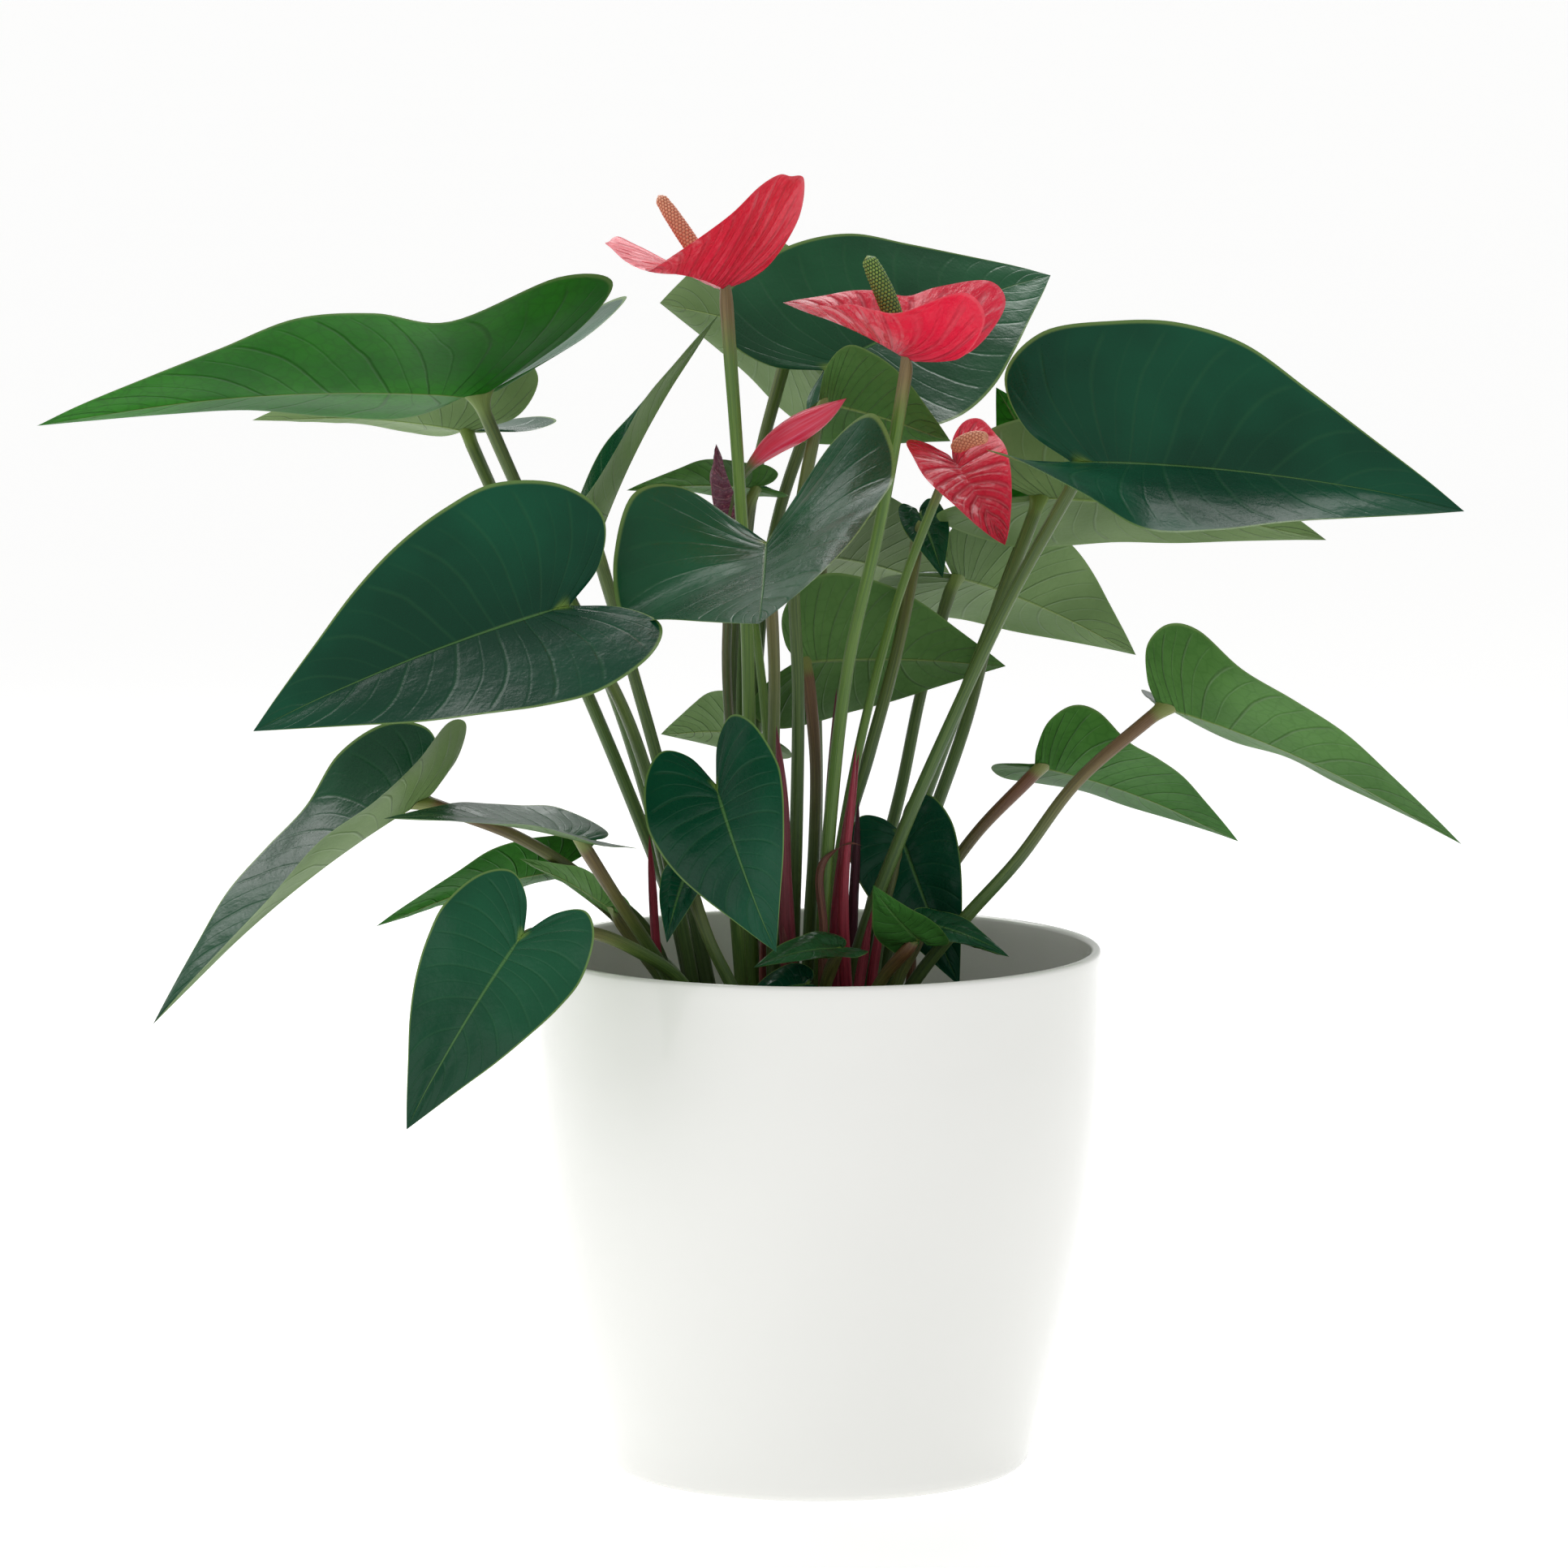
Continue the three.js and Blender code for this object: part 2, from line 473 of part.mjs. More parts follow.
// Rolled young leaves, bud and old leaf sheaths: slim pointed rods from the potting mix.
const SHOOTS = [
  { name: "shoot_orange", route: [[-17, -4, 0], [-16, -5, 60], [-14, -8, 134]], radius: 2.2,
    colour: "#a8432c" },
  { name: "shoot_crimson", route: [[4, -13, 0], [6, -15, 60], [13, -16, 112]], radius: 2.2,
    colour: "#a5183c" },
  { name: "shoot_dark", route: [[2, 5, 0], [3, 5, 70], [6, 4, 130]], radius: 2.2, colour: "#6d1730" },
  { name: "shoot_purple", route: [[9, 3, 0], [11, 2, 50], [13, 1, 95]], radius: 2, colour: "#4b1330" },
  { name: "shoot_front", route: [[8, -24, 0], [13, -27, 40], [17, -31, 64]], radius: 2, colour: "#8f1a36" },
  { name: "shoot_left", route: [[-46, -10, 0], [-51, -14, 50], [-53, -18, 86]], radius: 1.8,
    colour: "#a5183c" },
  { name: "sheath_red", route: [[-8, -30, 0], [-9, -34, 44], [-11, -37, 60]], radius: 2, colour: "#7a2434" },
  { name: "shoot_bright", route: [[12, -17, 0], [8, -22, 62], [12, -22, 115]], radius: 2, colour: "#b5213a" },
  { name: "shoot_short", route: [[18, -8, 0], [17, -25, 40], [21, -27, 66]], radius: 1.8, colour: "#8f1a36" },
  { name: "sheath_hook", route: [[2, -24, 0], [2, -25, 60], [5, -25, 84], [14, -23, 83]], radius: 1.6,
    colour: "#6b2030" },
  { name: "shoot_unfurling", route: [[-6, -16, 0], [-10, -22, 60], [-11, -27, 96], [-13, -29, 122]],
    radius: 2.8, colour: "#8a1c34" },
  { name: "sheath_brown", route: [[27, 0, 0], [29, 0, 30], [31, -1, 52]], radius: 1.8, colour: "#6b4a35" },
  { name: "bud_closed", route: [[-14, 17, 0], [-27, 22, 116], [-24, 1, 196], [9, -14, 223]], radius: 4.4,
    colour: "#b3153b", bud: true },
];
const SHOOT_STATIONS = [[0, 1], [0.3, 1], [0.6, 0.85], [0.85, 0.55], [0.96, 0.2]];
const BUD_STATIONS = [[0, 0.42], [0.3, 0.36], [0.6, 0.34], [0.84, 0.36], [0.88, 0.8], [0.93, 1], [0.97, 0.6]];

LEAVES.forEach((spec) => addMesh(spec.name, bladeGeometry(spec), "#1f4a35", 0.35));
SPATHES.forEach((spec) => {
  const geometry = bladeGeometry({ ...spec, outline: "spathe", cup: 0.08, wave: 0.03, rib: 2 });
  addMesh(spec.name, geometry, spec.colour, 0.3);
});
SPADICES.forEach(({ name, route, radius }) => {
  const stations = SPADIX_STATIONS.map(([share, r]) => [share, r * radius]);
  addMesh(name, rodGeometry(route, stations, 8), "#d98a5c", 0.6);
});
SHOOTS.forEach(({ name, route, radius, colour, bud }) => {
  const stations = (bud ? BUD_STATIONS : SHOOT_STATIONS).map(([share, r]) => [share, r * radius]);
  addMesh(name, rodGeometry(route, stations, 6), colour, 0.4);
});
for (const mesh of group.children) {
  mesh.scale.setScalar(PLANT_SCALE);
  mesh.position.z = plantFoot;
}

addMesh("cover_pot", coverPotGeometry(), "#f3f4ee", 0.2);
addMesh("grow_pot", growPotGeometry(), "#2b2b2b", 0.6);
addMesh("potting_mix", pottingMixGeometry(), "#3a2a1e", 0.95);

export default group;
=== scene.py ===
"""Potted anthurium: leaves, spathes, spadices, shoots, potting mix and pots, each finished on its solid."""

import math
import random
from types import SimpleNamespace

import bpy
import numpy as np
from mathutils import Matrix, Vector


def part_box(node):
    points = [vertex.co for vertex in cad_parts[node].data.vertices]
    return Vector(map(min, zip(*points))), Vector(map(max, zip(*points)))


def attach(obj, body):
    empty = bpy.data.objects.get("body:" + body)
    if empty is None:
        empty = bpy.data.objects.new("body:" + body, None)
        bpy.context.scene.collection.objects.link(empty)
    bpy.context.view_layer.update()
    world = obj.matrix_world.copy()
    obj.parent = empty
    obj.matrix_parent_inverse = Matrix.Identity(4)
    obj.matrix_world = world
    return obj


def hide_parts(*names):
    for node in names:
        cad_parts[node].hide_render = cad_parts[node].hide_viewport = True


bl_info = {
    "name": "Potted Anthurium",
    "version": (1, 0, 0),
    "blender": (4, 5, 0),
    "location": "View3D > Sidebar > Anthurium",
    "description": "Finishes a potted anthurium on its solid frame and sets a small studio",
    "category": "Object",
}

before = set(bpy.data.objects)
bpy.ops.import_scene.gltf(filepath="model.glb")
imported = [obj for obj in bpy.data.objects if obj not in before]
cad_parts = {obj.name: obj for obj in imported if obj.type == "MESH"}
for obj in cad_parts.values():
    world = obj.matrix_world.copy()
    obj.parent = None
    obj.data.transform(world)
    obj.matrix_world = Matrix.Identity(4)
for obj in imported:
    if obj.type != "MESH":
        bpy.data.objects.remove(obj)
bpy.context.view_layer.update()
NODES = sorted(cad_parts)

# How the solids are laid out: rings of a stalk below its flare, rows of a blade from joint to tip,
# and where its columns stand between midrib and margin.
STALK_RINGS = 6
BLADE_ROWS = 9
COLUMN_KNOTS = [0.0, 0.12, 0.56, 1.0]
MERGE = 1e-5

# How fine the finished surfaces are.
COLUMN_STEPS = (3, 7, 6)
STALK_POINTS = 44
FLARE_POINTS = 8
STALK_FINENESS = 3
POT_STEPS = 144
MIX_SIDES = 120
MIX_RINGS = 56

VEIN_BEND = 0.9
SPATHE_QUILTING = 0.0007
SPATHE_SWELLING = 0.0006
SPATHE_STEPS = 9
PAPER_DEPTH = 0.00022
BERRY_ROWS = 0.87
POT_WIDEST = 0.82
CHIP_SIZES = (0.0012, 0.0034)

CAMERA_PLACE = (-0.0106, -2.3505, 0.5016)
CAMERA_DIP = math.radians(6.896)
CAMERA_LENS = 171.65
# Each light's place, target, side and power.
LIGHTS = {
    "key": ((-0.6, 0.75, 1.35), (0, 0, 0.25), 0.8, 8),
    "back": ((0.2, 1.15, 1.3), (0, 0, 0.35), 0.8, 8),
    "side": ((-1.5, -1.2, 0.9), (0, 0, 0.2), 1.2, 4),
}

LEAVES = [n for n in NODES if n.startswith("leaf_")]
SPATHES = [n for n in NODES if n.startswith("flower_")]
SPADICES = [n for n in NODES if n.startswith("spadix_")]
SHOOTS = [n for n in NODES if n.startswith(("shoot_", "sheath_", "bud_"))]

# How each leaf differs: under is how much painted backlight its underside has (0 pale, 1 a vivid green
# painted for light shining through from behind, with more light also really let through), blush is how red
# its stalk is, fresh is how young and light its upper face is.
LEAF_LOOKS = {
    "leaf_top_left": (1.0, 0.1, 0.15),
    "leaf_top_left_back": (0.1, 0.1, 0.1),
    "leaf_front_left": (0.4, 0.2, 0.0),
    "leaf_centre": (0.4, 0.5, 0.1),
    "leaf_upright": (0.2, 0.1, 0.1),
    "leaf_crown_back": (0.05, 0.2, 0.1),
    "leaf_crown_right": (0.3, 0.15, 0.15),
    "leaf_crown_low": (0.5, 0.2, 0.2),
    "leaf_right": (0.3, 0.1, 0.0),
    "leaf_right_back": (0.1, 0.1, 0.2),
    "leaf_mid_right": (0.15, 0.1, 0.1),
    "leaf_mid_back": (0.0, 0.3, 0.1),
    "leaf_heart_back": (0.45, 0.8, 0.1),
    "leaf_low_back": (0.2, 0.3, 0.1),
    "leaf_low_right": (0.55, 0.75, 0.1),
    "leaf_low_right_back": (0.7, 0.9, 0.15),
    "leaf_hanging_left": (0.1, 0.7, 0.1),
    "leaf_flat_left": (0.3, 0.6, 0.1),
    "leaf_green_left": (0.9, 0.3, 0.4),
    "leaf_small_left": (0.5, 0.4, 0.2),
    "leaf_front_drooping": (0.5, 0.6, 0.05),
    "leaf_front_folded": (0.9, 0.4, 0.0),
    "leaf_front_small": (0.6, 0.4, 0.3),
    "leaf_dark_right": (0.3, 0.3, 0.0),
    "leaf_young_right": (1.0, 0.8, 0.8),
    "leaf_pointed_right": (0.4, 0.4, 0.1),
    "leaf_hidden": (0.6, 0.2, 0.2),
    "leaf_inner_left": (0.3, 0.2, 0.0),
    "leaf_pot_front": (0.3, 0.2, 0.0),
    "leaf_dark_back": (0.4, 0.3, 0.1),
    "leaf_bright_back": (1.0, 0.3, 0.6),
}
# How vivid the red of each shoot or sheath is, and how brown it has dried.
SHOOT_LOOKS = {
    "shoot_orange": (0.9, 0.45),
    "shoot_crimson": (0.8, 0.0),
    "shoot_dark": (0.25, 0.1),
    "shoot_purple": (0.0, 0.0),
    "shoot_front": (0.6, 0.1),
    "shoot_left": (0.9, 0.0),
    "shoot_bright": (1.0, 0.05),
    "shoot_short": (0.7, 0.1),
    "shoot_unfurling": (0.35, 0.1),
    "sheath_hook": (0.2, 0.6),
    "sheath_red": (0.3, 0.3),
    "sheath_brown": (0.1, 0.9),
}


# ---------------------------------------------------------------- reading the solids


class Net:
    """The triangles of a CAD node with shared corners merged, walked from corner to corner."""

    def __init__(self, node):
        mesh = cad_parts[node].data
        places = np.zeros(len(mesh.vertices) * 3)
        mesh.vertices.foreach_get("co", places)
        mesh.calc_loop_triangles()
        corners = np.zeros(len(mesh.loop_triangles) * 3, int)
        mesh.loop_triangles.foreach_get("vertices", corners)
        _, first, merged = np.unique(
            np.round(places.reshape(-1, 3) / MERGE), axis=0, return_index=True, return_inverse=True)
        self.places = places.reshape(-1, 3)[first]
        self.turn = {}
        self.near = {}
        for a, b, c in merged.reshape(-1)[corners].reshape(-1, 3).tolist():
            for p, q, r in ((a, b, c), (b, c, a), (c, a, b)):
                self.turn[p, q] = r
                self.near.setdefault(p, set()).update((q, r))

    def around(self, centre):
        """The corners round a corner, in order."""
        start = next(iter(self.near[centre]))
        loop = [start]
        while True:
            corner = self.turn[loop[-1], centre]
            if corner == start:
                return loop
            loop.append(corner)

    def onward(self, row, flipped):
        """The next row of a skin, from the midrib to the margin."""
        found = []
        for inner, outer in zip(row, row[1:]):
            found.append(self.turn[(outer, inner) if flipped else (inner, outer)])
        if len(set(found)) == 1:
            return found[0]
        pivot = (found[0], row[0]) if flipped else (row[0], found[0])
        return [self.turn[pivot]] + found

    def skin(self, row, flipped):
        """All rows from the given one to the last, and the tip."""
        rows = [row]
        while isinstance(ahead := self.onward(rows[-1], flipped), list):
            rows.append(ahead)
        return rows, ahead


def read_blade(node):
    """A blade's control rows on both faces, and the rings of its stalk from the foot to the joint."""
    net = Net(node)
    height = net.places[:, 2]
    ring = set(np.nonzero(height < height.min() + MERGE)[0].tolist())
    seen = set(ring)
    for _ in range(STALK_RINGS - 1):
        ring = {n for c in ring for n in net.near[c]} - seen
        seen |= ring
    mouth = {n for c in ring for n in net.near[c]} - seen
    sinus = max(mouth, key=lambda c: len(net.near[c]))
    loop = net.around(sinus)
    start = next(i for i, c in enumerate(loop) if c in ring and loop[i - 1] not in ring)
    loop = loop[start:] + loop[:start]
    joint, right, left = loop[-6], loop[-5:], loop[2:7]
    upper_right, tip = net.skin([joint] + right[:3], False)
    upper_left, _ = net.skin([joint] + left[4:1:-1], True)
    under_right = [right[4], right[3], right[2]]
    under_left = [left[0], left[1], left[2]]

    def second(row, flipped):
        out = [net.turn[(b, a) if flipped else (a, b)] for a, b in zip(row, row[1:])]
        first = net.turn[(out[0], row[0]) if flipped else (row[0], out[0])]
        return [first] + out

    next_right = second(under_right, True)
    next_left = second(under_left, False)
    middle = (mouth - {sinus, right[4], left[0], next_right[0], next_left[0]}).pop()
    lower_right, _ = net.skin([middle] + next_right, True)
    lower_left, _ = net.skin([middle] + next_left, False)
    rim = [sinus, right[4], next_right[0], middle, next_left[0], left[0]]
    rings = [rim]
    for _ in range(STALK_RINGS):
        above = rings[-1]
        rings.append([net.turn[above[(k + 1) % 6], above[k]] for k in range(6)])
    place = net.places
    centre = place[rim].mean(axis=0)

    def rows_of(grid, first=None):
        block = [np.stack([place[c] for c in row]) for row in grid]
        if first is not None:
            block.insert(0, np.concatenate([[centre], place[first]]))
        ends = [np.repeat(place[[c]], 4, axis=0) for c in (sinus, tip)]
        return np.stack([ends[0]] + block + [ends[1]])

    upper = (rows_of(upper_right), rows_of(upper_left))
    lower = (rows_of(lower_right, under_right), rows_of(lower_left, under_left))
    if len(upper[0]) != BLADE_ROWS + 2 or len(lower[0]) != BLADE_ROWS + 2:
        raise RuntimeError(node + " isn't laid out as a blade on a stalk")
    stalk = np.stack([place[r] for r in reversed(rings)])
    return upper, lower, stalk


def read_rod(node):
    """A rod's low end point, its rings from there, and its high end point."""
    net = Net(node)
    poles = [c for c, around in net.near.items() if all(len(net.near[n]) == 5 for n in around)]
    foot = min(poles, key=lambda c: net.places[c, 2])
    rings = [net.around(foot)]
    while True:
        row = rings[-1]
        ahead = [net.turn[a, b] for a, b in zip(row, row[1:] + row[:1])]
        if len(set(ahead)) == 1:
            return net.places[foot], np.stack([net.places[r] for r in rings]), net.places[ahead[0]]
        rings.append(ahead[-1:] + ahead[:-1])


# ---------------------------------------------------------------- smooth surfaces


def flow(points, knots, at, stiff=False):
    """A smooth curve through points along the first axis; a stiff one keeps to its long spans."""
    knots = np.asarray(knots, float)
    gap = np.diff(knots)
    shape = (-1,) + (1,) * (points.ndim - 1)
    slope = np.diff(points, axis=0) / gap.reshape(shape)
    tangent = np.empty_like(points)
    tangent[0], tangent[-1] = slope[0], slope[-1]
    before, after = gap[:-1].reshape(shape), gap[1:].reshape(shape)
    near, far = (before, after) if stiff else (after, before)
    tangent[1:-1] = (slope[:-1] * near + slope[1:] * far) / (before + after)
    at = np.asarray(at, float)
    cell = np.clip(np.searchsorted(knots, at, side="right") - 1, 0, len(gap) - 1)
    width = gap[cell].reshape(shape)
    t = ((at - knots[cell]) / gap[cell]).reshape(shape)
    return ((2 * t**3 - 3 * t**2 + 1) * points[cell] + (t**3 - 2 * t**2 + t) * width * tangent[cell]
            + (3 * t**2 - 2 * t**3) * points[cell + 1] + (t**3 - t**2) * width * tangent[cell + 1])


def sleeve(rings, knots, at):
    """Rings along a stalk: the middle line runs smoothly and the girth changes evenly from ring to ring."""
    middle = rings.mean(axis=1, keepdims=True)
    girth = rings - middle
    cell = np.clip(np.searchsorted(knots, at, side="right") - 1, 0, len(knots) - 2)
    t = ((at - knots[cell]) / (knots[cell + 1] - knots[cell]))[:, None, None]
    last = (cell == len(knots) - 2)[:, None, None]
    t = np.where(last, t**2.2, t)
    return flow(middle, knots, at, stiff=True) + girth[cell] * (1 - t) + girth[cell + 1] * t


def round_ring(rings, factor):
    """Closed rings made finer round their circumference."""
    sides = rings.shape[1]
    wrapped = np.concatenate([rings[:, -2:], rings, rings[:, :3]], axis=1).swapaxes(0, 1)
    at = np.arange(sides * factor) / factor + 2
    return flow(wrapped, np.arange(sides + 5), at).swapaxes(0, 1)


def normals_of(grid):
    """Which way a grid of points faces at each point."""
    along = np.gradient(grid, axis=0)
    across = np.gradient(grid, axis=1)
    normal = np.cross(across, along)
    length = np.linalg.norm(normal, axis=2, keepdims=True)
    return normal / np.maximum(length, 1e-12)


class Body:
    """Points, faces and the values that the materials read, gathered for one mesh."""

    def __init__(self):
        self.points, self.faces, self.uvs, self.kinds = [], [], [], []
        self.count = 0

    def add(self, points, uvs):
        start = self.count
        self.points.append(np.asarray(points).reshape(-1, 3))
        self.uvs.append(np.asarray(uvs).reshape(-1, 2))
        self.count += len(self.points[-1])
        return start

    def quads(self, index, kind, flipped=False):
        """Faces between neighbouring rows and columns of an index grid; a repeated corner is left out."""
        a, b = index[:-1, :-1].ravel(), index[:-1, 1:].ravel()
        c, d = index[1:, 1:].ravel(), index[1:, :-1].ravel()
        for face in np.stack([a, b, c, d], axis=1).tolist():
            corners = []
            for corner in face:
                if corner not in corners:
                    corners.append(corner)
            if len(corners) > 2:
                self.faces.append(corners[::-1] if flipped else corners)
                self.kinds.append(kind)

    def tube(self, rings, places, kind, ends):
        """A closed tube of rings; each end is a point."""
        sides = rings.shape[1]
        uv = np.stack(np.broadcast_arrays(np.arange(sides)[None, :] / sides, places[:, None]), axis=2)
        first = self.add(rings, uv)
        index = first + np.arange(len(places) * sides).reshape(-1, sides)
        index = np.concatenate([index, index[:, :1]], axis=1)
        self.quads(index, kind)
        low, high = (self.add(end[None], [[0, place]]) for end, place in zip(ends, (0, 1)))
        self.quads(np.stack([np.full(sides + 1, low), index[0]]), kind)
        self.quads(np.stack([index[-1], np.full(sides + 1, high)]), kind)

    def make(self, name, materials, values):
        """The mesh object; a value is one number, or a number for each of the first points."""
        mesh = bpy.data.meshes.new(name)
        mesh.from_pydata(np.concatenate(self.points).tolist(), [], self.faces)
        uvs = np.concatenate(self.uvs)
        corners = np.zeros(len(mesh.loops), int)
        mesh.loops.foreach_get("vertex_index", corners)
        layer = mesh.uv_layers.new(name="grain")
        layer.data.foreach_set("uv", uvs[corners].ravel())
        for key, value in values.items():
            store = mesh.attributes.new(key, "FLOAT", "POINT")
            spread = np.zeros(self.count)
            spread[:np.size(value) if np.ndim(value) else self.count] = np.ravel(value)
            store.data.foreach_set("value", spread)
        for material in materials:
            mesh.materials.append(material)
        mesh.polygons.foreach_set("material_index", self.kinds)
        thing = bpy.data.objects.new(name, mesh)
        bpy.context.collection.objects.link(thing)
        return thing


def fine_places(knots, steps):
    """Places that divide each span between two knots into its number of steps."""
    out = []
    for low, high, n in zip(knots, knots[1:], steps):
        out += [low + (high - low) * i / n for i in range(n)]
    return np.array(out + [knots[-1]])


def blade_surface(halves, across, along, relief):
    """The two halves of one face of a blade as one grid, left margin to right margin."""
    rows = np.arange(BLADE_ROWS + 2)
    sides = []
    for half in halves:
        fine = flow(half, rows, along)
        fine = flow(fine.swapaxes(0, 1), COLUMN_KNOTS, across).swapaxes(0, 1)
        sides.append(fine)
    right, left = sides
    grid = np.concatenate([left[:, :0:-1], right], axis=1)
    share = np.concatenate([-across[:0:-1], across])
    normal = normals_of(grid)
    return grid + normal * relief(share[None, :], along[:, None])[..., None], share


def wax_relief(depth, lumps, seed):
    """How far a face stands out between its side veins, with soft uneven swellings."""
    dice = random.Random(seed)
    waves = [(dice.uniform(0.6, 1.6), dice.uniform(1.5, 4.5), dice.uniform(0, 6.3)) for _ in range(5)]

    def relief(across, along):
        side = np.abs(across)
        vein = np.abs(np.sin(math.pi * (along - VEIN_BEND * side**1.5)))
        fade = np.clip(side * 5, 0, 1) * np.clip((1 - side) * 4, 0, 1)
        ends = np.clip(along, 0, 1) * np.clip((BLADE_ROWS + 1 - along) / 2, 0, 1)
        out = depth * (vein**0.6 - 0.6) * fade * ends
        for down, over, phase in waves:
            out = out + lumps * np.sin(down * along + over * across + phase) * fade * ends / 3
        return out

    return relief


def blade_piece(node, materials, values, depth, lumps, steps):
    """A finished blade and stalk on a CAD blade."""
    upper, lower, rings = read_blade(node)
    across = fine_places(COLUMN_KNOTS, COLUMN_STEPS)
    along = fine_places(range(BLADE_ROWS + 2), [steps] * (BLADE_ROWS + 1))
    relief = wax_relief(depth, lumps, NODES.index(node))
    top, share = blade_surface(upper, across, along, relief)
    base, _ = blade_surface(lower, across, along, lambda s, r: relief(s, r) * 0.9)
    body = Body()
    uv = np.stack(np.broadcast_arrays(share[None, :] * 0.5 + 0.5, along[:, None] / (BLADE_ROWS + 1)), axis=2)
    index = np.arange(len(along) * len(share)).reshape(len(along), len(share))
    index_top = body.add(top, uv) + index
    index_top[0], index_top[-1] = index_top[0, 0], index_top[-1, 0]
    index_base = body.add(base, uv) + index
    index_base[:, 0], index_base[:, -1] = index_top[:, 0], index_top[:, -1]
    index_base[0], index_base[-1] = index_top[0, 0], index_top[-1, 0]
    body.quads(index_top, 0)
    body.quads(index_base, 1, flipped=True)

    middle = rings.mean(axis=1)
    steps_along = np.linalg.norm(np.diff(middle, axis=0), axis=1)
    knots = np.concatenate([[0], np.cumsum(steps_along)])
    flare, length = knots[-2:]
    places = np.concatenate([
        np.linspace(0, flare, STALK_POINTS, endpoint=False), np.linspace(flare, length, FLARE_POINTS)])
    tube = round_ring(sleeve(rings, knots, places), STALK_FINENESS)
    joint = upper[0][1, 0]
    lid = middle[-1] + (joint - middle[-1]) * 0.5
    body.tube(tube, places / length, 2, (middle[0], lid))
    thing = body.make(node.replace("leaf_", "blade_").replace("flower_", "spathe_"), materials, values)
    settle(thing, node, 50)


def rod_piece(node, name, materials, values, steps, dress):
    """A finished rod on a CAD rod: dress gives each spot's rise off the surface and its own values."""
    foot, rings, end = read_rod(node)
    middle = np.concatenate([rings.mean(axis=1), end[None]])
    knots = np.concatenate([[0], np.cumsum(np.linalg.norm(np.diff(middle, axis=0), axis=1))])
    sides = rings.shape[1]
    factor = max(1, round(steps[0] / sides))
    full = np.concatenate([rings, np.repeat(end[None, None], sides, 1)])
    share = 0.5 - 0.5 * np.cos(np.linspace(0, math.pi, steps[1]))
    share = 0.35 * share + 0.65 * np.linspace(0, 1, steps[1])
    places = knots[-1] * 0.996 * share
    tube = round_ring(flow(full, knots, places), factor)
    around = np.arange(tube.shape[1]) / tube.shape[1]
    along = places / knots[-1]
    out = tube - tube.mean(axis=1, keepdims=True)
    girth = np.linalg.norm(out, axis=2, keepdims=True)
    rise, extra = dress(around[None, :], along[:, None], knots[-1] - knots[0], girth[..., 0])
    tube = tube + out / np.maximum(girth, 1e-6) * rise[..., None]
    body = Body()
    body.tube(tube, along, 0, (foot, end))
    settle(body.make(name, materials, {**values, **extra}), node, 60)


def beads(spacing, height):
    """Small round berries packed in staggered rows."""

    def dress(around, along, length, girth):
        rows = length / (spacing * BERRY_ROWS)
        count = max(8, round(2 * math.pi * float(girth.max()) / spacing))
        best = np.full(np.broadcast(around, along).shape, 9.0)
        row = along * rows
        for shift in (-1, 0, 1):
            centre = np.floor(row) + 0.5 + shift
            turn = around * count - 0.5 * (np.floor(row + shift) % 2)
            off = turn - np.floor(turn) - 0.5
            best = np.minimum(best, np.hypot(off, (row - centre) * BERRY_ROWS))
        bead = np.clip(1 - (best / 0.5) ** 2, 0, 1)
        fade = np.clip(along * 12, 0, 1) * np.clip((1 - along) * 14, 0, 1)
        return height * (np.sqrt(bead) - 0.5) * fade, {"bead": bead}

    return dress


def papery(depth, seed):
    """Long shallow folds along a rolled leaf or sheath."""
    dice = random.Random(seed)
    waves = [(dice.randint(2, 5), dice.uniform(2, 7), dice.uniform(0, 6.3)) for _ in range(4)]

    def dress(around, along, length, girth):
        rise = sum(np.sin(2 * math.pi * n * around + down * along + phase) for n, down, phase in waves)
        fade = np.clip(along * 20, 0, 1) * np.clip((1 - along) * 8, 0, 1)
        seam = np.exp(-((around - 0.5 + 0.15 * np.sin(4 * along)) / 0.04) ** 2)
        return depth * (rise / 4 + 0.8 * seam) * fade, {}

    return dress


def settle(thing, node, angle):
    """Clears unused corners, shades the piece, hangs it on the root body and hides its CAD node."""
    bpy.ops.object.select_all(action="DESELECT")
    thing.select_set(True)
    bpy.context.view_layer.objects.active = thing
    bpy.ops.object.mode_set(mode="EDIT")
    bpy.ops.mesh.select_all(action="SELECT")
    bpy.ops.mesh.delete_loose(use_verts=True, use_edges=True, use_faces=False)
    bpy.ops.object.mode_set(mode="OBJECT")
    bpy.ops.object.shade_smooth_by_angle(angle=math.radians(angle))
    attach(thing, "root")
    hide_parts(node)


# ---------------------------------------------------------------- materials


class Value:
    """A socket that takes part in sums; each sum adds its Math node."""

    def __init__(self, shade, socket):
        self.shade, self.socket = shade, socket

    def join(self, kind, left, right=None):
        inputs = [left] if right is None else [left, right]
        return self.shade.node("ShaderNodeMath", {"operation": kind}, dict(enumerate(inputs)))

    def __add__(self, other):
        return self.join("ADD", self, other)

    def __sub__(self, other):
        return self.join("SUBTRACT", self, other)

    def __mul__(self, other):
        return self.join("MULTIPLY", self, other)

    def __pow__(self, other):
        return self.join("POWER", self, other)

    def __rsub__(self, other):
        return self.join("SUBTRACT", other, self)

    __radd__ = __add__
    __rmul__ = __mul__

    def call(self, kind, other=None):
        return self.join(kind, self, other)

    def span(self, low, high):
        """0 at low, 1 at high, smooth between; low may be the higher number."""
        t = self.shade.node("ShaderNodeMapRange", {"interpolation_type": "SMOOTHSTEP"}, {
            "Value": self, "From Min": min(low, high), "From Max": max(low, high)})
        return t if high > low else 1 - t


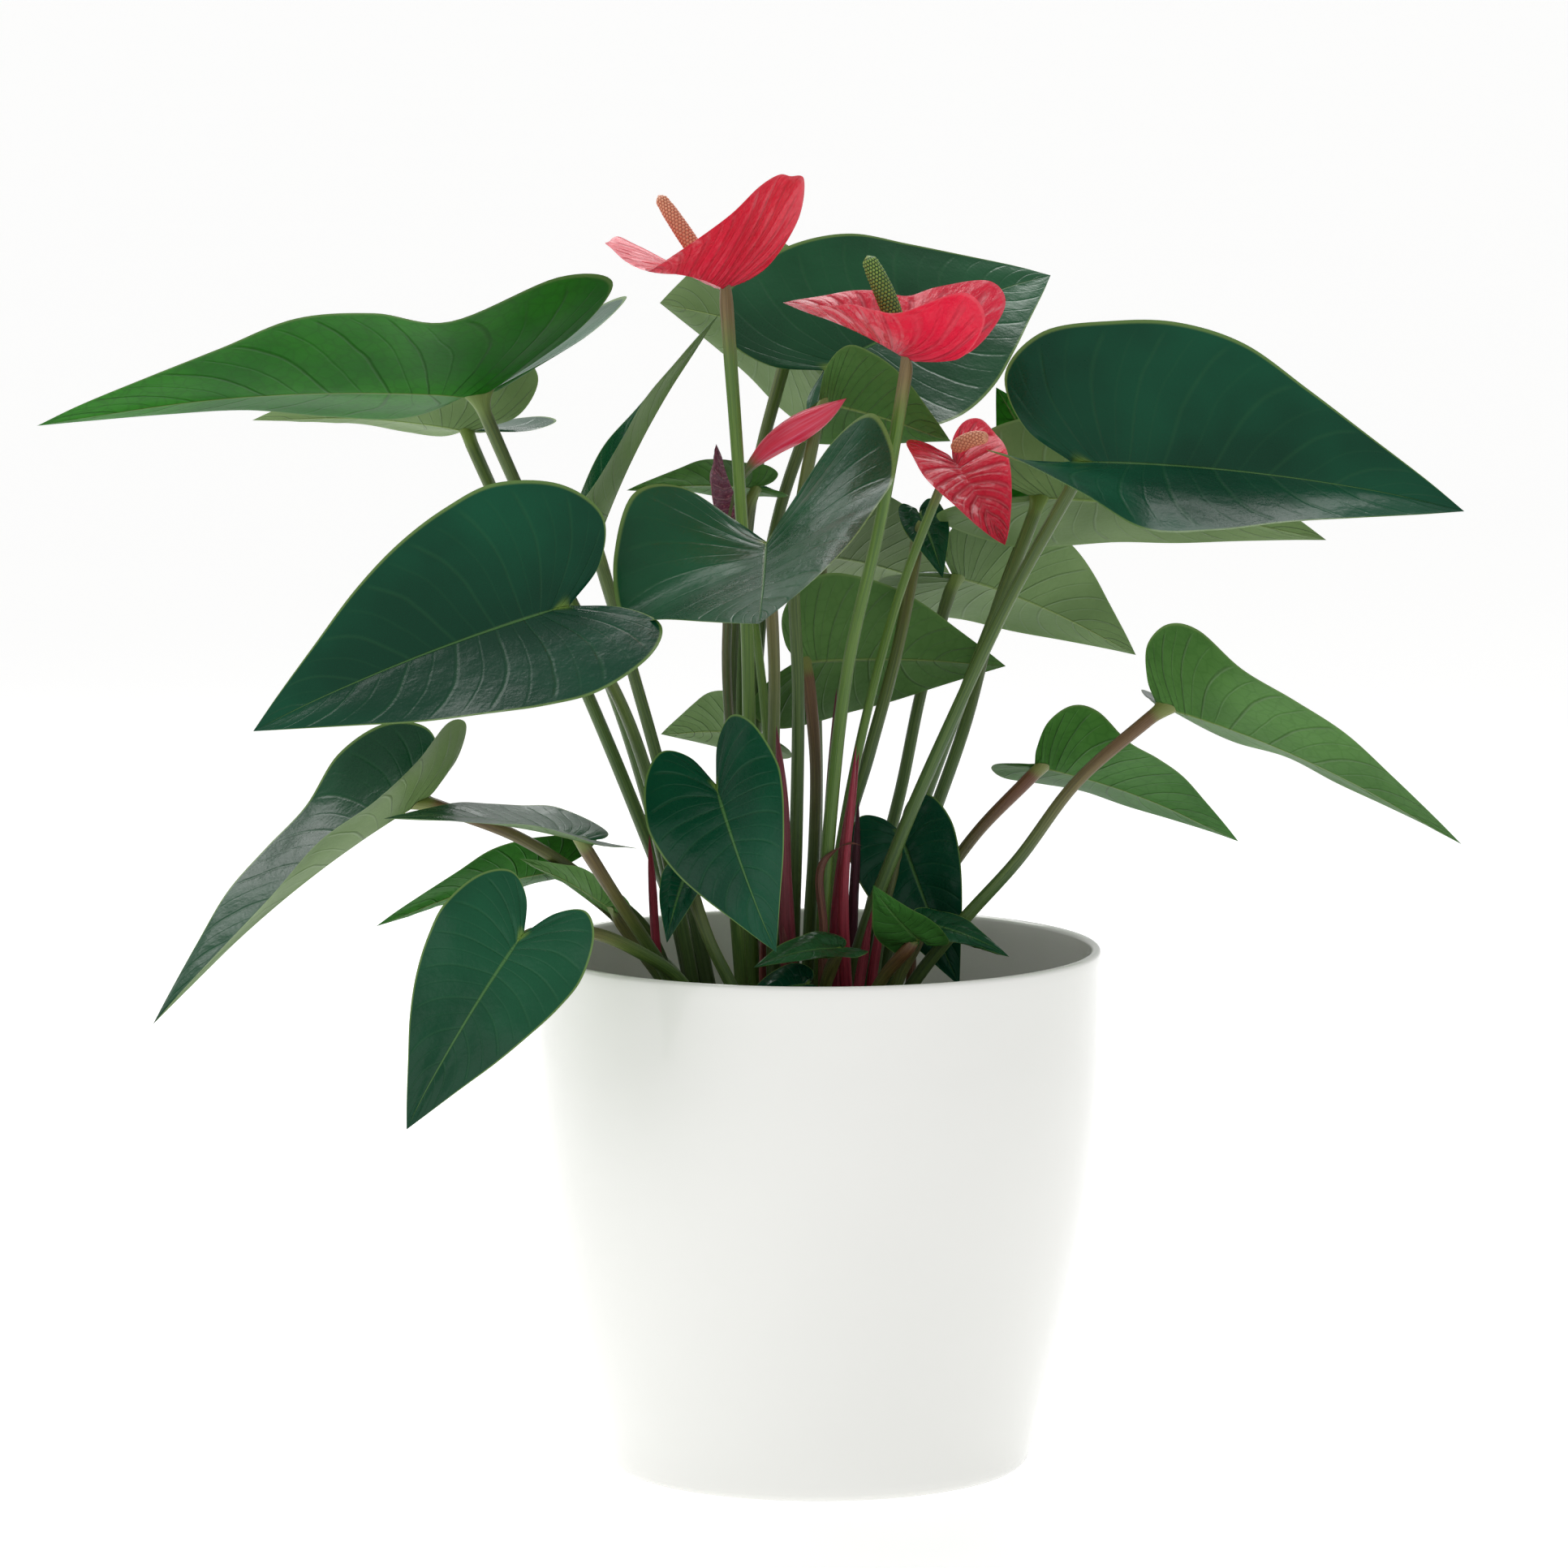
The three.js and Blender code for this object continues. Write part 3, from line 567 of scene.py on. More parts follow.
class Shade:
    """A material's node tree."""

    def __init__(self, name):
        self.material = bpy.data.materials.new(name)
        self.material.use_nodes = True
        self.tree = self.material.node_tree
        self.tree.nodes.clear()

    def node(self, kind, settings=None, inputs=None, output=0):
        made = self.tree.nodes.new(kind)
        for key, value in (settings or {}).items():
            setattr(made, key, value)
        for key, value in (inputs or {}).items():
            socket = made.inputs[key]
            if isinstance(value, Value):
                self.tree.links.new(value.socket, socket)
            else:
                socket.default_value = value
        return Value(self, made.outputs[output])

    def value(self, name):
        """A number that the piece's mesh carries."""
        return self.node("ShaderNodeAttribute", {"attribute_name": name}, output=2)

    def grain(self):
        """How far across or around a spot lies, how far along, and both as one place."""
        uv = self.node("ShaderNodeUVMap", {"uv_map": "grain"})
        across = self.node("ShaderNodeSeparateXYZ", inputs={0: uv})
        return across, Value(self, across.socket.node.outputs[1]), uv

    def place(self):
        """The spot's own place in the object."""
        return self.node("ShaderNodeTexCoord", output=3)

    def noise(self, scale, detail=3, rough=0.5, vector=None):
        return self.node("ShaderNodeTexNoise", None, {
            "Vector": vector or self.place(), "Scale": scale, "Detail": detail, "Roughness": rough})

    def mix(self, factor, first, second):
        return self.node("ShaderNodeMix", {"data_type": "RGBA"}, {
            0: factor, 6: colour(first), 7: colour(second)}, output=2)

    def bump(self, height, distance):
        return self.node("ShaderNodeBump", None, {"Height": height, "Distance": distance, "Strength": 1.0})

    def finish(self, inputs, glow=None, factor=0.0):
        """The material, with a share of light let through in a colour of its own."""
        shader = self.node("ShaderNodeBsdfPrincipled", None, inputs)
        if glow is not None:
            light = self.node("ShaderNodeBsdfTranslucent", None, {"Color": glow})
            shader = self.node("ShaderNodeMixShader", None, {0: factor, 1: shader, 2: light})
        out = self.tree.nodes.new("ShaderNodeOutputMaterial")
        self.tree.links.new(shader.socket, out.inputs[0])
        return self.material


def colour(value):
    return value if isinstance(value, Value) else (*value[:3], 1.0)


def vein_lines(shade, width=0.07):
    """How close a spot is to the midrib, to a side vein and to the margin, each 0 to 1, and its place."""
    across, along, uv = shade.grain()
    side = (across * 2 - 1).call("ABSOLUTE")
    row = along * (BLADE_ROWS + 1)
    warp = shade.noise(35, 2, 0.5) - 0.5
    field = row - VEIN_BEND * side ** 1.5 + warp * 0.25
    off = (field.call("FRACT") - 0.5).call("ABSOLUTE")
    main = off.span(0.5 - width, 0.5)
    half = ((field + 0.5).call("FRACT") - 0.5).call("ABSOLUTE")
    minor = half.span(0.5 - width * 0.7, 0.5)
    veins = ((main + minor * 0.45) * side.span(0.97, 0.86)).call("MINIMUM", 1.0)
    return SimpleNamespace(midrib=side.span(0.045, 0.012), veins=veins, margin=side.span(0.965, 0.985),
                           side=side, row=row, uv=uv)


def upper_leaf(name):
    """Waxy dark green, lighter on a young leaf, with pale veins and margin."""
    shade = Shade(name)
    leaf = vein_lines(shade)
    fresh = shade.value("fresh")
    cloud = shade.noise(18, 3)
    deep = shade.mix(cloud.span(0.35, 0.7), (0.002, 0.046, 0.021), (0.004, 0.084, 0.038))
    light = shade.mix(cloud.span(0.35, 0.7), (0.03, 0.13, 0.02), (0.06, 0.2, 0.03))
    base = shade.mix(fresh, deep, light)
    base = shade.mix(leaf.veins * 0.16, base, (0.035, 0.14, 0.05))
    base = shade.mix(leaf.midrib * 0.5, base, (0.12, 0.27, 0.07))
    joint = leaf.row.span(1.9, 1.0) * leaf.side.span(0.3, 0.02)
    base = shade.mix(joint * 0.7, base, (0.22, 0.36, 0.06))
    base = shade.mix(leaf.margin * 0.8, base, (0.16, 0.27, 0.07))
    fine = shade.noise(900, 2)
    rough = 0.2 + cloud * 0.12 + fine * 0.05
    height = fine * 0.2 - leaf.veins * 0.35 - leaf.midrib * 0.8 + shade.noise(160, 3) * 0.9
    return shade.finish({
        "Base Color": base, "Roughness": rough, "Normal": shade.bump(height, 0.0004), "IOR": 1.4,
        "Specular IOR Level": 0.25, "Coat Weight": 0.06, "Coat Roughness": 0.1})


def under_leaf(name):
    """Matt and paler, with raised veins; a backlit one lets some light through and has painted backlight: a
    vivid green base with a dark fine net and dark veins, painted as the leaf looks against light from behind.
    """
    shade = Shade(name)
    leaf = vein_lines(shade, 0.055)
    # how much painted backlight the underside has: colour that stands in for light shining through it from
    # behind
    painted_backlight = shade.value("under")
    cloud = shade.noise(22, 3)
    pale = shade.mix(cloud.span(0.3, 0.7), (0.13, 0.21, 0.07), (0.21, 0.31, 0.12))
    # painted backlight: the vivid greens stand in for light shining through the leaf
    vivid = shade.mix(cloud.span(0.3, 0.7), (0.014, 0.16, 0.01), (0.035, 0.26, 0.014))
    base = shade.mix(painted_backlight, pale, vivid)
    cells = shade.node("ShaderNodeTexVoronoi", {"feature": "DISTANCE_TO_EDGE"}, {
        "Vector": shade.place(), "Scale": 210, "Randomness": 1.0})
    # painted backlight: a dark cell net, as it shows with light shining through
    net = cells.span(0.12, 0.0) * painted_backlight * 0.35
    base = shade.mix(net, base, (0.015, 0.09, 0.008))
    # painted backlight: the veins turn dark where light from behind is painted, and stay pale on a pale
    # underside
    dark = shade.mix(painted_backlight, (0.2, 0.3, 0.14), (0.018, 0.1, 0.01))
    base = shade.mix(leaf.veins * 0.6, base, dark)
    base = shade.mix(leaf.midrib * 0.85, base, (0.24, 0.36, 0.1))
    base = shade.mix(leaf.margin * 0.6, base, (0.2, 0.32, 0.1))
    fine = shade.noise(700, 2)
    height = fine * 0.3 + leaf.veins * 0.8 + leaf.midrib * 1.2
    return shade.finish({
        "Base Color": base, "Roughness": 0.46 + fine * 0.12, "Normal": shade.bump(height, 0.0004),
        "IOR": 1.42, "Specular IOR Level": 0.22},
        glow=(0.2, 0.5, 0.04, 1), factor=0.12 + painted_backlight * 0.2)


def stalk_skin(name):
    """Streaked green that reddens upwards on a blushing leaf, with painted shade darkening it towards the
    mix.
    """
    shade = Shade(name)
    _, along, uv = shade.grain()
    blush = shade.value("blush")
    streak = shade.node("ShaderNodeMapping", None, {"Vector": uv, "Scale": (9, 1.5, 1)})
    lines = shade.noise(3, 4, 0.6, streak)
    green = shade.mix(lines.span(0.35, 0.65), (0.045, 0.11, 0.02), (0.1, 0.18, 0.035))
    red = shade.mix(lines.span(0.35, 0.65), (0.13, 0.035, 0.02), (0.2, 0.07, 0.035))
    base = shade.mix(blush * along.span(0.45, 0.95), green, red)
    # painted shade: the lower stalk darkens towards the mix, where it stands shaded in the crowded crown
    base = shade.mix(along.span(0.4, 0.05) * 0.8, base, (0.022, 0.04, 0.012))
    base = shade.mix(along.span(0.955, 0.985) * 0.6, base, (0.2, 0.3, 0.06))
    height = lines * 0.8 + shade.noise(800, 2) * 0.2
    return shade.finish({
        "Base Color": base, "Roughness": 0.34 + lines * 0.12, "Normal": shade.bump(height, 0.0003)})


def spathe_skin(name, tint, streaks, inside):
    """Waxy red, washed and veined with pale pink, and a little light let through."""
    shade = Shade(name)
    leaf = vein_lines(shade, 0.16)
    cloud = shade.noise(40, 4, 0.6)
    deep = tuple(c * 0.85 for c in tint)
    base = shade.mix(cloud.span(0.3, 0.7), deep, tint)
    stretch = shade.node("ShaderNodeMapping", None, {"Vector": leaf.uv, "Scale": (6, 22, 1)})
    fibre = shade.noise(1.6, 5, 0.65, stretch)
    wash = fibre.span(0.5, 0.75) * cloud.span(0.35, 0.6)
    base = shade.mix((wash * streaks).call("MINIMUM", 1.0), base, (0.82, 0.3, 0.36))
    base = shade.mix(leaf.veins * 0.45 * streaks, base, (0.85, 0.4, 0.45))
    base = shade.mix(leaf.margin * 0.3, base, (0.8, 0.25, 0.3))
    height = leaf.veins * -0.9 + fibre * 0.9 + shade.noise(240, 3) * 0.8
    return shade.finish({
        "Base Color": base, "Roughness": 0.2 + cloud * 0.14, "Normal": shade.bump(height, 0.0009),
        "Coat Weight": 0.35, "Coat Roughness": 0.08, "IOR": 1.4, "Specular IOR Level": 0.4},
        glow=(*tint, 1), factor=inside)


def flower_stalk_skin(name):
    """Streaked green, brown under the spathe, with painted shade darkening it towards its foot."""
    shade = Shade(name)
    _, along, uv = shade.grain()
    streak = shade.node("ShaderNodeMapping", None, {"Vector": uv, "Scale": (9, 2, 1)})
    lines = shade.noise(3, 4, 0.6, streak)
    base = shade.mix(lines.span(0.35, 0.65), (0.07, 0.16, 0.02), (0.13, 0.24, 0.03))
    brown = shade.mix(lines.span(0.35, 0.65), (0.14, 0.06, 0.025), (0.24, 0.13, 0.06))
    base = shade.mix(along.span(0.9, 0.985) * 0.8, base, brown)
    # painted shade: the lower stalk darkens towards its foot in the shaded crown
    base = shade.mix(along.span(0.45, 0.0) * 0.6, base, (0.03, 0.07, 0.015))
    return shade.finish({
        "Base Color": base, "Roughness": 0.3 + lines * 0.12, "Normal": shade.bump(lines, 0.0003)})


def spadix_skin(name, berry, gap):
    """Pale berries with a darker colour between them."""
    shade = Shade(name)
    bead = shade.value("bead")
    cloud = shade.noise(300, 2)
    _, along, _ = shade.grain()
    tip = shade.mix(along.span(0.55, 1.0) * 0.35, berry, tuple(min(1, c * 1.5 + 0.05) for c in berry))
    base = shade.mix(bead.span(0.15, 0.75), gap, tip)
    base = shade.mix(cloud.span(0.4, 0.8) * 0.3, base, gap)
    return shade.finish({
        "Base Color": base, "Roughness": 0.42 + cloud * 0.1, "Normal": shade.bump(cloud, 0.0002),
        "Subsurface Weight": 0.1, "Subsurface Radius": (0.002, 0.0012, 0.0008)})


def sheath_skin(name):
    """Streaked paper from dark purple to vivid red, or dried to brown, with painted shade darkening it
    towards its foot.
    """
    shade = Shade(name)
    vivid = shade.value("vivid")
    brown = shade.value("brown")
    _, along, uv = shade.grain()
    streak = shade.node("ShaderNodeMapping", None, {"Vector": uv, "Scale": (8, 1.2, 1)})
    lines = shade.noise(3, 5, 0.6, streak)
    dark = shade.mix(lines.span(0.35, 0.65), (0.045, 0.004, 0.012), (0.1, 0.01, 0.03))
    red = shade.mix(lines.span(0.35, 0.65), (0.26, 0.008, 0.03), (0.42, 0.025, 0.06))
    tan = shade.mix(lines.span(0.35, 0.65), (0.1, 0.045, 0.02), (0.24, 0.12, 0.05))
    base = shade.mix(brown, shade.mix(vivid, dark, red), tan)
    # painted shade: the sheath darkens towards its foot in the shaded crown
    base = shade.mix(along.span(0.3, 0.0) * 0.7, base, (0.03, 0.02, 0.01))
    return shade.finish({
        "Base Color": base, "Roughness": 0.36 + lines * 0.15, "Normal": shade.bump(lines, 0.0004)})


def bud_skin(name, tint):
    """A green stalk that turns into a red bud near its top."""
    shade = Shade(name)
    _, along, uv = shade.grain()
    streak = shade.node("ShaderNodeMapping", None, {"Vector": uv, "Scale": (8, 2.5, 1)})
    lines = shade.noise(3, 5, 0.6, streak)
    stalk = shade.mix(lines.span(0.35, 0.65), (0.05, 0.12, 0.02), (0.12, 0.1, 0.03))
    bud = shade.mix(lines.span(0.4, 0.75), tuple(c * 0.7 for c in tint), (0.7, 0.12, 0.2))
    base = shade.mix(along.span(0.835, 0.865), stalk, bud)
    return shade.finish({
        "Base Color": base, "Roughness": 0.24 + lines * 0.12, "Normal": shade.bump(lines, 0.0004)})


def glazed_skin(name, tint):
    """Glossy off-white with hardly any ripple."""
    shade = Shade(name)
    cloud = shade.noise(6, 2)
    base = shade.mix(cloud.span(0.3, 0.7), tint, tuple(c * 0.985 for c in tint))
    ripple = shade.noise(22, 2)
    return shade.finish({
        "Base Color": base, "Roughness": 0.2 + cloud * 0.05, "IOR": 1.46,
        "Normal": shade.bump(ripple, 0.0006), "Coat Weight": 0.3, "Coat Roughness": 0.05})


def mould_skin(name):
    """Dull black plastic with a fine grain."""
    shade = Shade(name)
    grain = shade.noise(500, 3)
    base = shade.mix(grain, (0.012, 0.012, 0.012), (0.022, 0.021, 0.02))
    return shade.finish({
        "Base Color": base, "Roughness": 0.5 + grain * 0.15, "Normal": shade.bump(grain, 0.0003)})


def mix_skin(name, low, high):
    """Rough crumbs between two colours, with a few pale grains."""
    shade = Shade(name)
    patch = shade.noise(150, 5, 0.7)
    fine = shade.noise(900, 4, 0.7)
    base = shade.mix(patch.span(0.35, 0.7), low, high)
    base = shade.mix(fine.span(0.55, 0.75) * 0.5, base, tuple(min(1, c * 2.2) for c in high))
    return shade.finish({
        "Base Color": base, "Roughness": 0.85 + fine * 0.1, "Normal": shade.bump(fine, 0.0012)})


# ---------------------------------------------------------------- operators


class AnthuriumSettings(bpy.types.PropertyGroup):
    blade_steps: bpy.props.IntProperty(
        name="Blade steps", description="Rows of faces between two side veins of a blade", default=9,
        min=2, max=16)
    quilting: bpy.props.FloatProperty(
        name="Quilting", description="How far a leaf stands out between its side veins", default=0.00026,
        unit="LENGTH", precision=5)
    swelling: bpy.props.FloatProperty(
        name="Swelling", description="Soft unevenness of a leaf blade", default=0.0006,
        unit="LENGTH", precision=5)
    bead_spacing: bpy.props.FloatProperty(
        name="Berry spacing", description="Distance between the berries of a spadix", default=0.00125,
        unit="LENGTH", precision=5, min=0.0005)
    pot_base_radius: bpy.props.FloatProperty(
        name="Pot base radius", description="Radius of the cover pot's foot", default=0.067, unit="LENGTH")
    pot_wall: bpy.props.FloatProperty(
        name="Pot wall", description="Wall of the cover pot", default=0.003, unit="LENGTH")
    pot_floor: bpy.props.FloatProperty(
        name="Pot floor", description="Floor of the cover pot", default=0.004, unit="LENGTH")
    chips: bpy.props.IntProperty(
        name="Chips", description="Bark chips lying on the potting mix", default=420, min=0)
    spathe_red: bpy.props.FloatVectorProperty(
        name="Spathe red", description="Colour of the spathes", default=(0.95, 0.026, 0.085), subtype="COLOR",
        min=0, max=1)
    pot_white: bpy.props.FloatVectorProperty(
        name="Pot white", description="Colour of the cover pot", default=(0.9, 0.9, 0.87), subtype="COLOR",
        min=0, max=1)
    floor_glow: bpy.props.FloatProperty(
        name="Floor glow", description="Light that the pale floor gives off by itself", default=0.45, min=0)
    sky_strength: bpy.props.FloatProperty(
        name="Sky strength", description="Strength of the plain white light all round", default=0.62, min=0)
    floor_white: bpy.props.FloatVectorProperty(
        name="Floor white", description="Colour of the studio floor", default=(0.85, 0.85, 0.845),
        subtype="COLOR", min=0, max=1)


class ANTHURIUM_OT_leaves(bpy.types.Operator):
    """Grow each leaf blade with its stalk"""
    bl_idname = "anthurium.leaves"
    bl_label = "Leaves"

    def execute(self, context):
        settings = context.scene.anthurium
        skins = [upper_leaf("leaf upper face"), under_leaf("leaf underside"), stalk_skin("leaf stalk")]
        for node in LEAVES:
            # under is how much painted backlight the underside has
            under, blush, fresh = LEAF_LOOKS[node]
            blade_piece(node, skins, {"under": under, "blush": blush, "fresh": fresh},
                        settings.quilting, settings.swelling, settings.blade_steps)
        return {"FINISHED"}


class ANTHURIUM_OT_spathes(bpy.types.Operator):
    """Grow each spathe with its stalk"""
    bl_idname = "anthurium.spathes"
    bl_label = "Spathes"

    def execute(self, context):
        settings = context.scene.anthurium
        tint = tuple(settings.spathe_red)
        stalk = flower_stalk_skin("flower stalk")
        faded = (0.15, 0.02, 0.06)
        fresh = [spathe_skin("spathe face", tint, 0.75, 0.3), spathe_skin("spathe back", tint, 0.18, 0.3)]
        old = [spathe_skin("old spathe face", faded, 0.5, 0.1),
               spathe_skin("old spathe back", faded, 0.6, 0.1)]
        for node in SPATHES:
            skins = (old if node == "flower_old" else fresh) + [stalk]
            blade_piece(node, skins, {}, SPATHE_QUILTING, SPATHE_SWELLING, SPATHE_STEPS)
        return {"FINISHED"}


class ANTHURIUM_OT_spadices(bpy.types.Operator):
    """Grow each spadix with its packed berries"""
    bl_idname = "anthurium.spadices"
    bl_label = "Spadices"

    def execute(self, context):
        settings = context.scene.anthurium
        orange = spadix_skin("orange spadix", (0.78, 0.36, 0.2), (0.5, 0.16, 0.09))
        green = spadix_skin("green spadix", (0.2, 0.34, 0.05), (0.012, 0.075, 0.012))
        for node in SPADICES:
            skin = green if "centre" in node else orange
            rod_piece(node, node.replace("spadix_", "berries_"), [skin], {}, (112, 150),
                      beads(settings.bead_spacing, settings.bead_spacing * 0.3))
        return {"FINISHED"}


class ANTHURIUM_OT_shoots(bpy.types.Operator):
    """Grow the rolled young leaves, the closed bud and the old sheaths"""
    bl_idname = "anthurium.shoots"
    bl_label = "Shoots"

    def execute(self, context):
        skin = sheath_skin("rolled leaf or sheath")
        bud = bud_skin("closed bud", tuple(context.scene.anthurium.spathe_red))
        for node in SHOOTS:
            vivid, brown = SHOOT_LOOKS.get(node, (0.5, 0.0))
            rod_piece(node, node.replace("_", "_skin_", 1), [bud if "bud" in node else skin],
                      {"vivid": vivid, "brown": brown}, (30, 70), papery(PAPER_DEPTH, NODES.index(node)))
        return {"FINISHED"}


class ANTHURIUM_OT_pots(bpy.types.Operator):
    """Turn the glossy cover pot and finish the nursery pot inside it"""
    bl_idname = "anthurium.pots"
    bl_label = "Pots"

    def execute(self, context):
        settings = context.scene.anthurium
        low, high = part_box("cover_pot")
        rim, height = (high[0] - low[0]) / 2, high[2]
        base, wall, floor = settings.pot_base_radius, settings.pot_wall, settings.pot_floor

        def radius(z):
            return base + (rim - base) * math.sin(math.pi / 2 * min(1, z / (POT_WIDEST * height)))

        outside = [(0, 0), (base * 0.5, 0), (base - 0.0034, 0), (base - 0.0016, 0.0002),
                   (base - 0.0005, 0.0009)]
        outside += [(radius(z), z) for z in np.linspace(0.0022, height - wall / 2, 60).tolist()]
        turn = np.linspace(0, math.pi, 9)[1:-1]
        lip = [(rim - wall / 2 + wall / 2 * math.cos(a), height - wall / 2 + wall / 2 * math.sin(a))
               for a in turn.tolist()]
        inside = [(radius(z) - wall, z) for z in np.linspace(height - wall / 2, floor + 0.004, 40).tolist()]
        foot = radius(floor + 0.004) - wall
        corner = [(foot - 0.0012, floor + 0.0012), (foot - 0.004, floor), (foot * 0.5, floor), (0, floor)]
        profile = outside + lip + inside + corner
        mesh = bpy.data.meshes.new("cover pot")
        mesh.from_pydata([(r, 0, z) for r, z in profile], [(i, i + 1) for i in range(len(profile) - 1)], [])
        pot = bpy.data.objects.new("glazed_cover_pot", mesh)
        context.collection.objects.link(pot)
        bpy.ops.object.select_all(action="DESELECT")
        pot.select_set(True)
        context.view_layer.objects.active = pot
        bpy.ops.object.mode_set(mode="EDIT")
        bpy.ops.mesh.select_all(action="SELECT")
        bpy.ops.mesh.spin(steps=POT_STEPS, angle=2 * math.pi, center=(0, 0, 0), axis=(0, 0, 1))
        bpy.ops.mesh.select_all(action="SELECT")
        bpy.ops.mesh.remove_doubles(threshold=2e-5)
        bpy.ops.mesh.normals_make_consistent(inside=False)
        bpy.ops.object.mode_set(mode="OBJECT")
        pot.data.materials.append(glazed_skin("glazed pot", tuple(settings.pot_white)))
        settle(pot, "cover_pot", 60)
        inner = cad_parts["grow_pot"]
        inner.data.materials.clear()
        inner.data.materials.append(mould_skin("nursery pot"))
        return {"FINISHED"}


class ANTHURIUM_OT_mix(bpy.types.Operator):
    """Lay the potting mix with its chips of bark"""
    bl_idname = "anthurium.mix"
    bl_label = "Potting mix"

    def execute(self, context):
        low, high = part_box("potting_mix")
        top, edge = high[2], (high[0] - low[0]) / 2 - 0.0006
        dice = random.Random(5)
        waves = [(dice.uniform(60, 420), dice.uniform(0, 6.3), dice.uniform(0, 6.3)) for _ in range(14)]

        def ground(x, y):
            swell = sum(np.sin(k * (x * math.cos(a) + y * math.sin(a)) + p) for k, a, p in waves) / 14
            return top - 0.0022 + 0.0045 * swell

        body = Body()
        angle = 2 * math.pi * np.arange(MIX_SIDES) / MIX_SIDES
        reach = np.linspace(0.002, edge, MIX_RINGS)
        x = reach[:, None] * np.cos(angle)
        y = reach[:, None] * np.sin(angle)
        z = np.minimum(ground(x, y), top - 0.0002)
        shrink = (edge - 0.012) / edge
        under = low[2] + 0.0003
        skirt = np.stack([x[-1:] * shrink, y[-1:] * shrink, np.full((1, MIX_SIDES), under)], axis=2)
        rings = np.concatenate([skirt, np.stack([x, y, z], axis=2)[::-1]])
        ends = (np.array([0, 0, under]), np.array([0, 0, top - 0.0022]))
        body.tube(rings, np.linspace(0, 1, len(rings)), 0, ends)
        bpy.ops.object.select_all(action="DESELECT")
        bpy.ops.mesh.primitive_ico_sphere_add(subdivisions=1, radius=1)
        seed = context.object
        shape = np.array([v.co[:] for v in seed.data.vertices])
        faces = [list(f.vertices) for f in seed.data.polygons]
        bpy.ops.object.delete()
        for _ in range(context.scene.anthurium.chips):
            away, turn = edge * 0.95 * math.sqrt(dice.random()), dice.uniform(0, 6.3)
            size = dice.uniform(*CHIP_SIZES)
            at = np.array([away * math.cos(turn), away * math.sin(turn), 0])
            at[2] = float(ground(at[0], at[1])) + size * 0.15
            shift = np.array([[dice.uniform(0.75, 1.2)] for _ in shape])
            spin = np.array(Matrix.Rotation(dice.uniform(0, 6.3), 3, Vector((
                dice.uniform(-1, 1), dice.uniform(-1, 1), dice.uniform(-1, 1)))))
            chip = (shape * shift * [size, size * dice.uniform(0.35, 0.8), size * 0.45]) @ spin.T + at
            first = body.add(chip, np.zeros((len(chip), 2)))
            body.faces += [[first + c for c in face] for face in faces]
            body.kinds += [1 + (dice.random() > 0.6)] * len(faces)
        thing = body.make("mix_and_bark", [
            mix_skin("potting mix", (0.012, 0.007, 0.004), (0.05, 0.03, 0.018)),
            mix_skin("bark", (0.035, 0.018, 0.009), (0.11, 0.06, 0.03)),
            mix_skin("dark bark", (0.01, 0.006, 0.004), (0.04, 0.022, 0.012))], {})
        settle(thing, "potting_mix", 30)
        return {"FINISHED"}


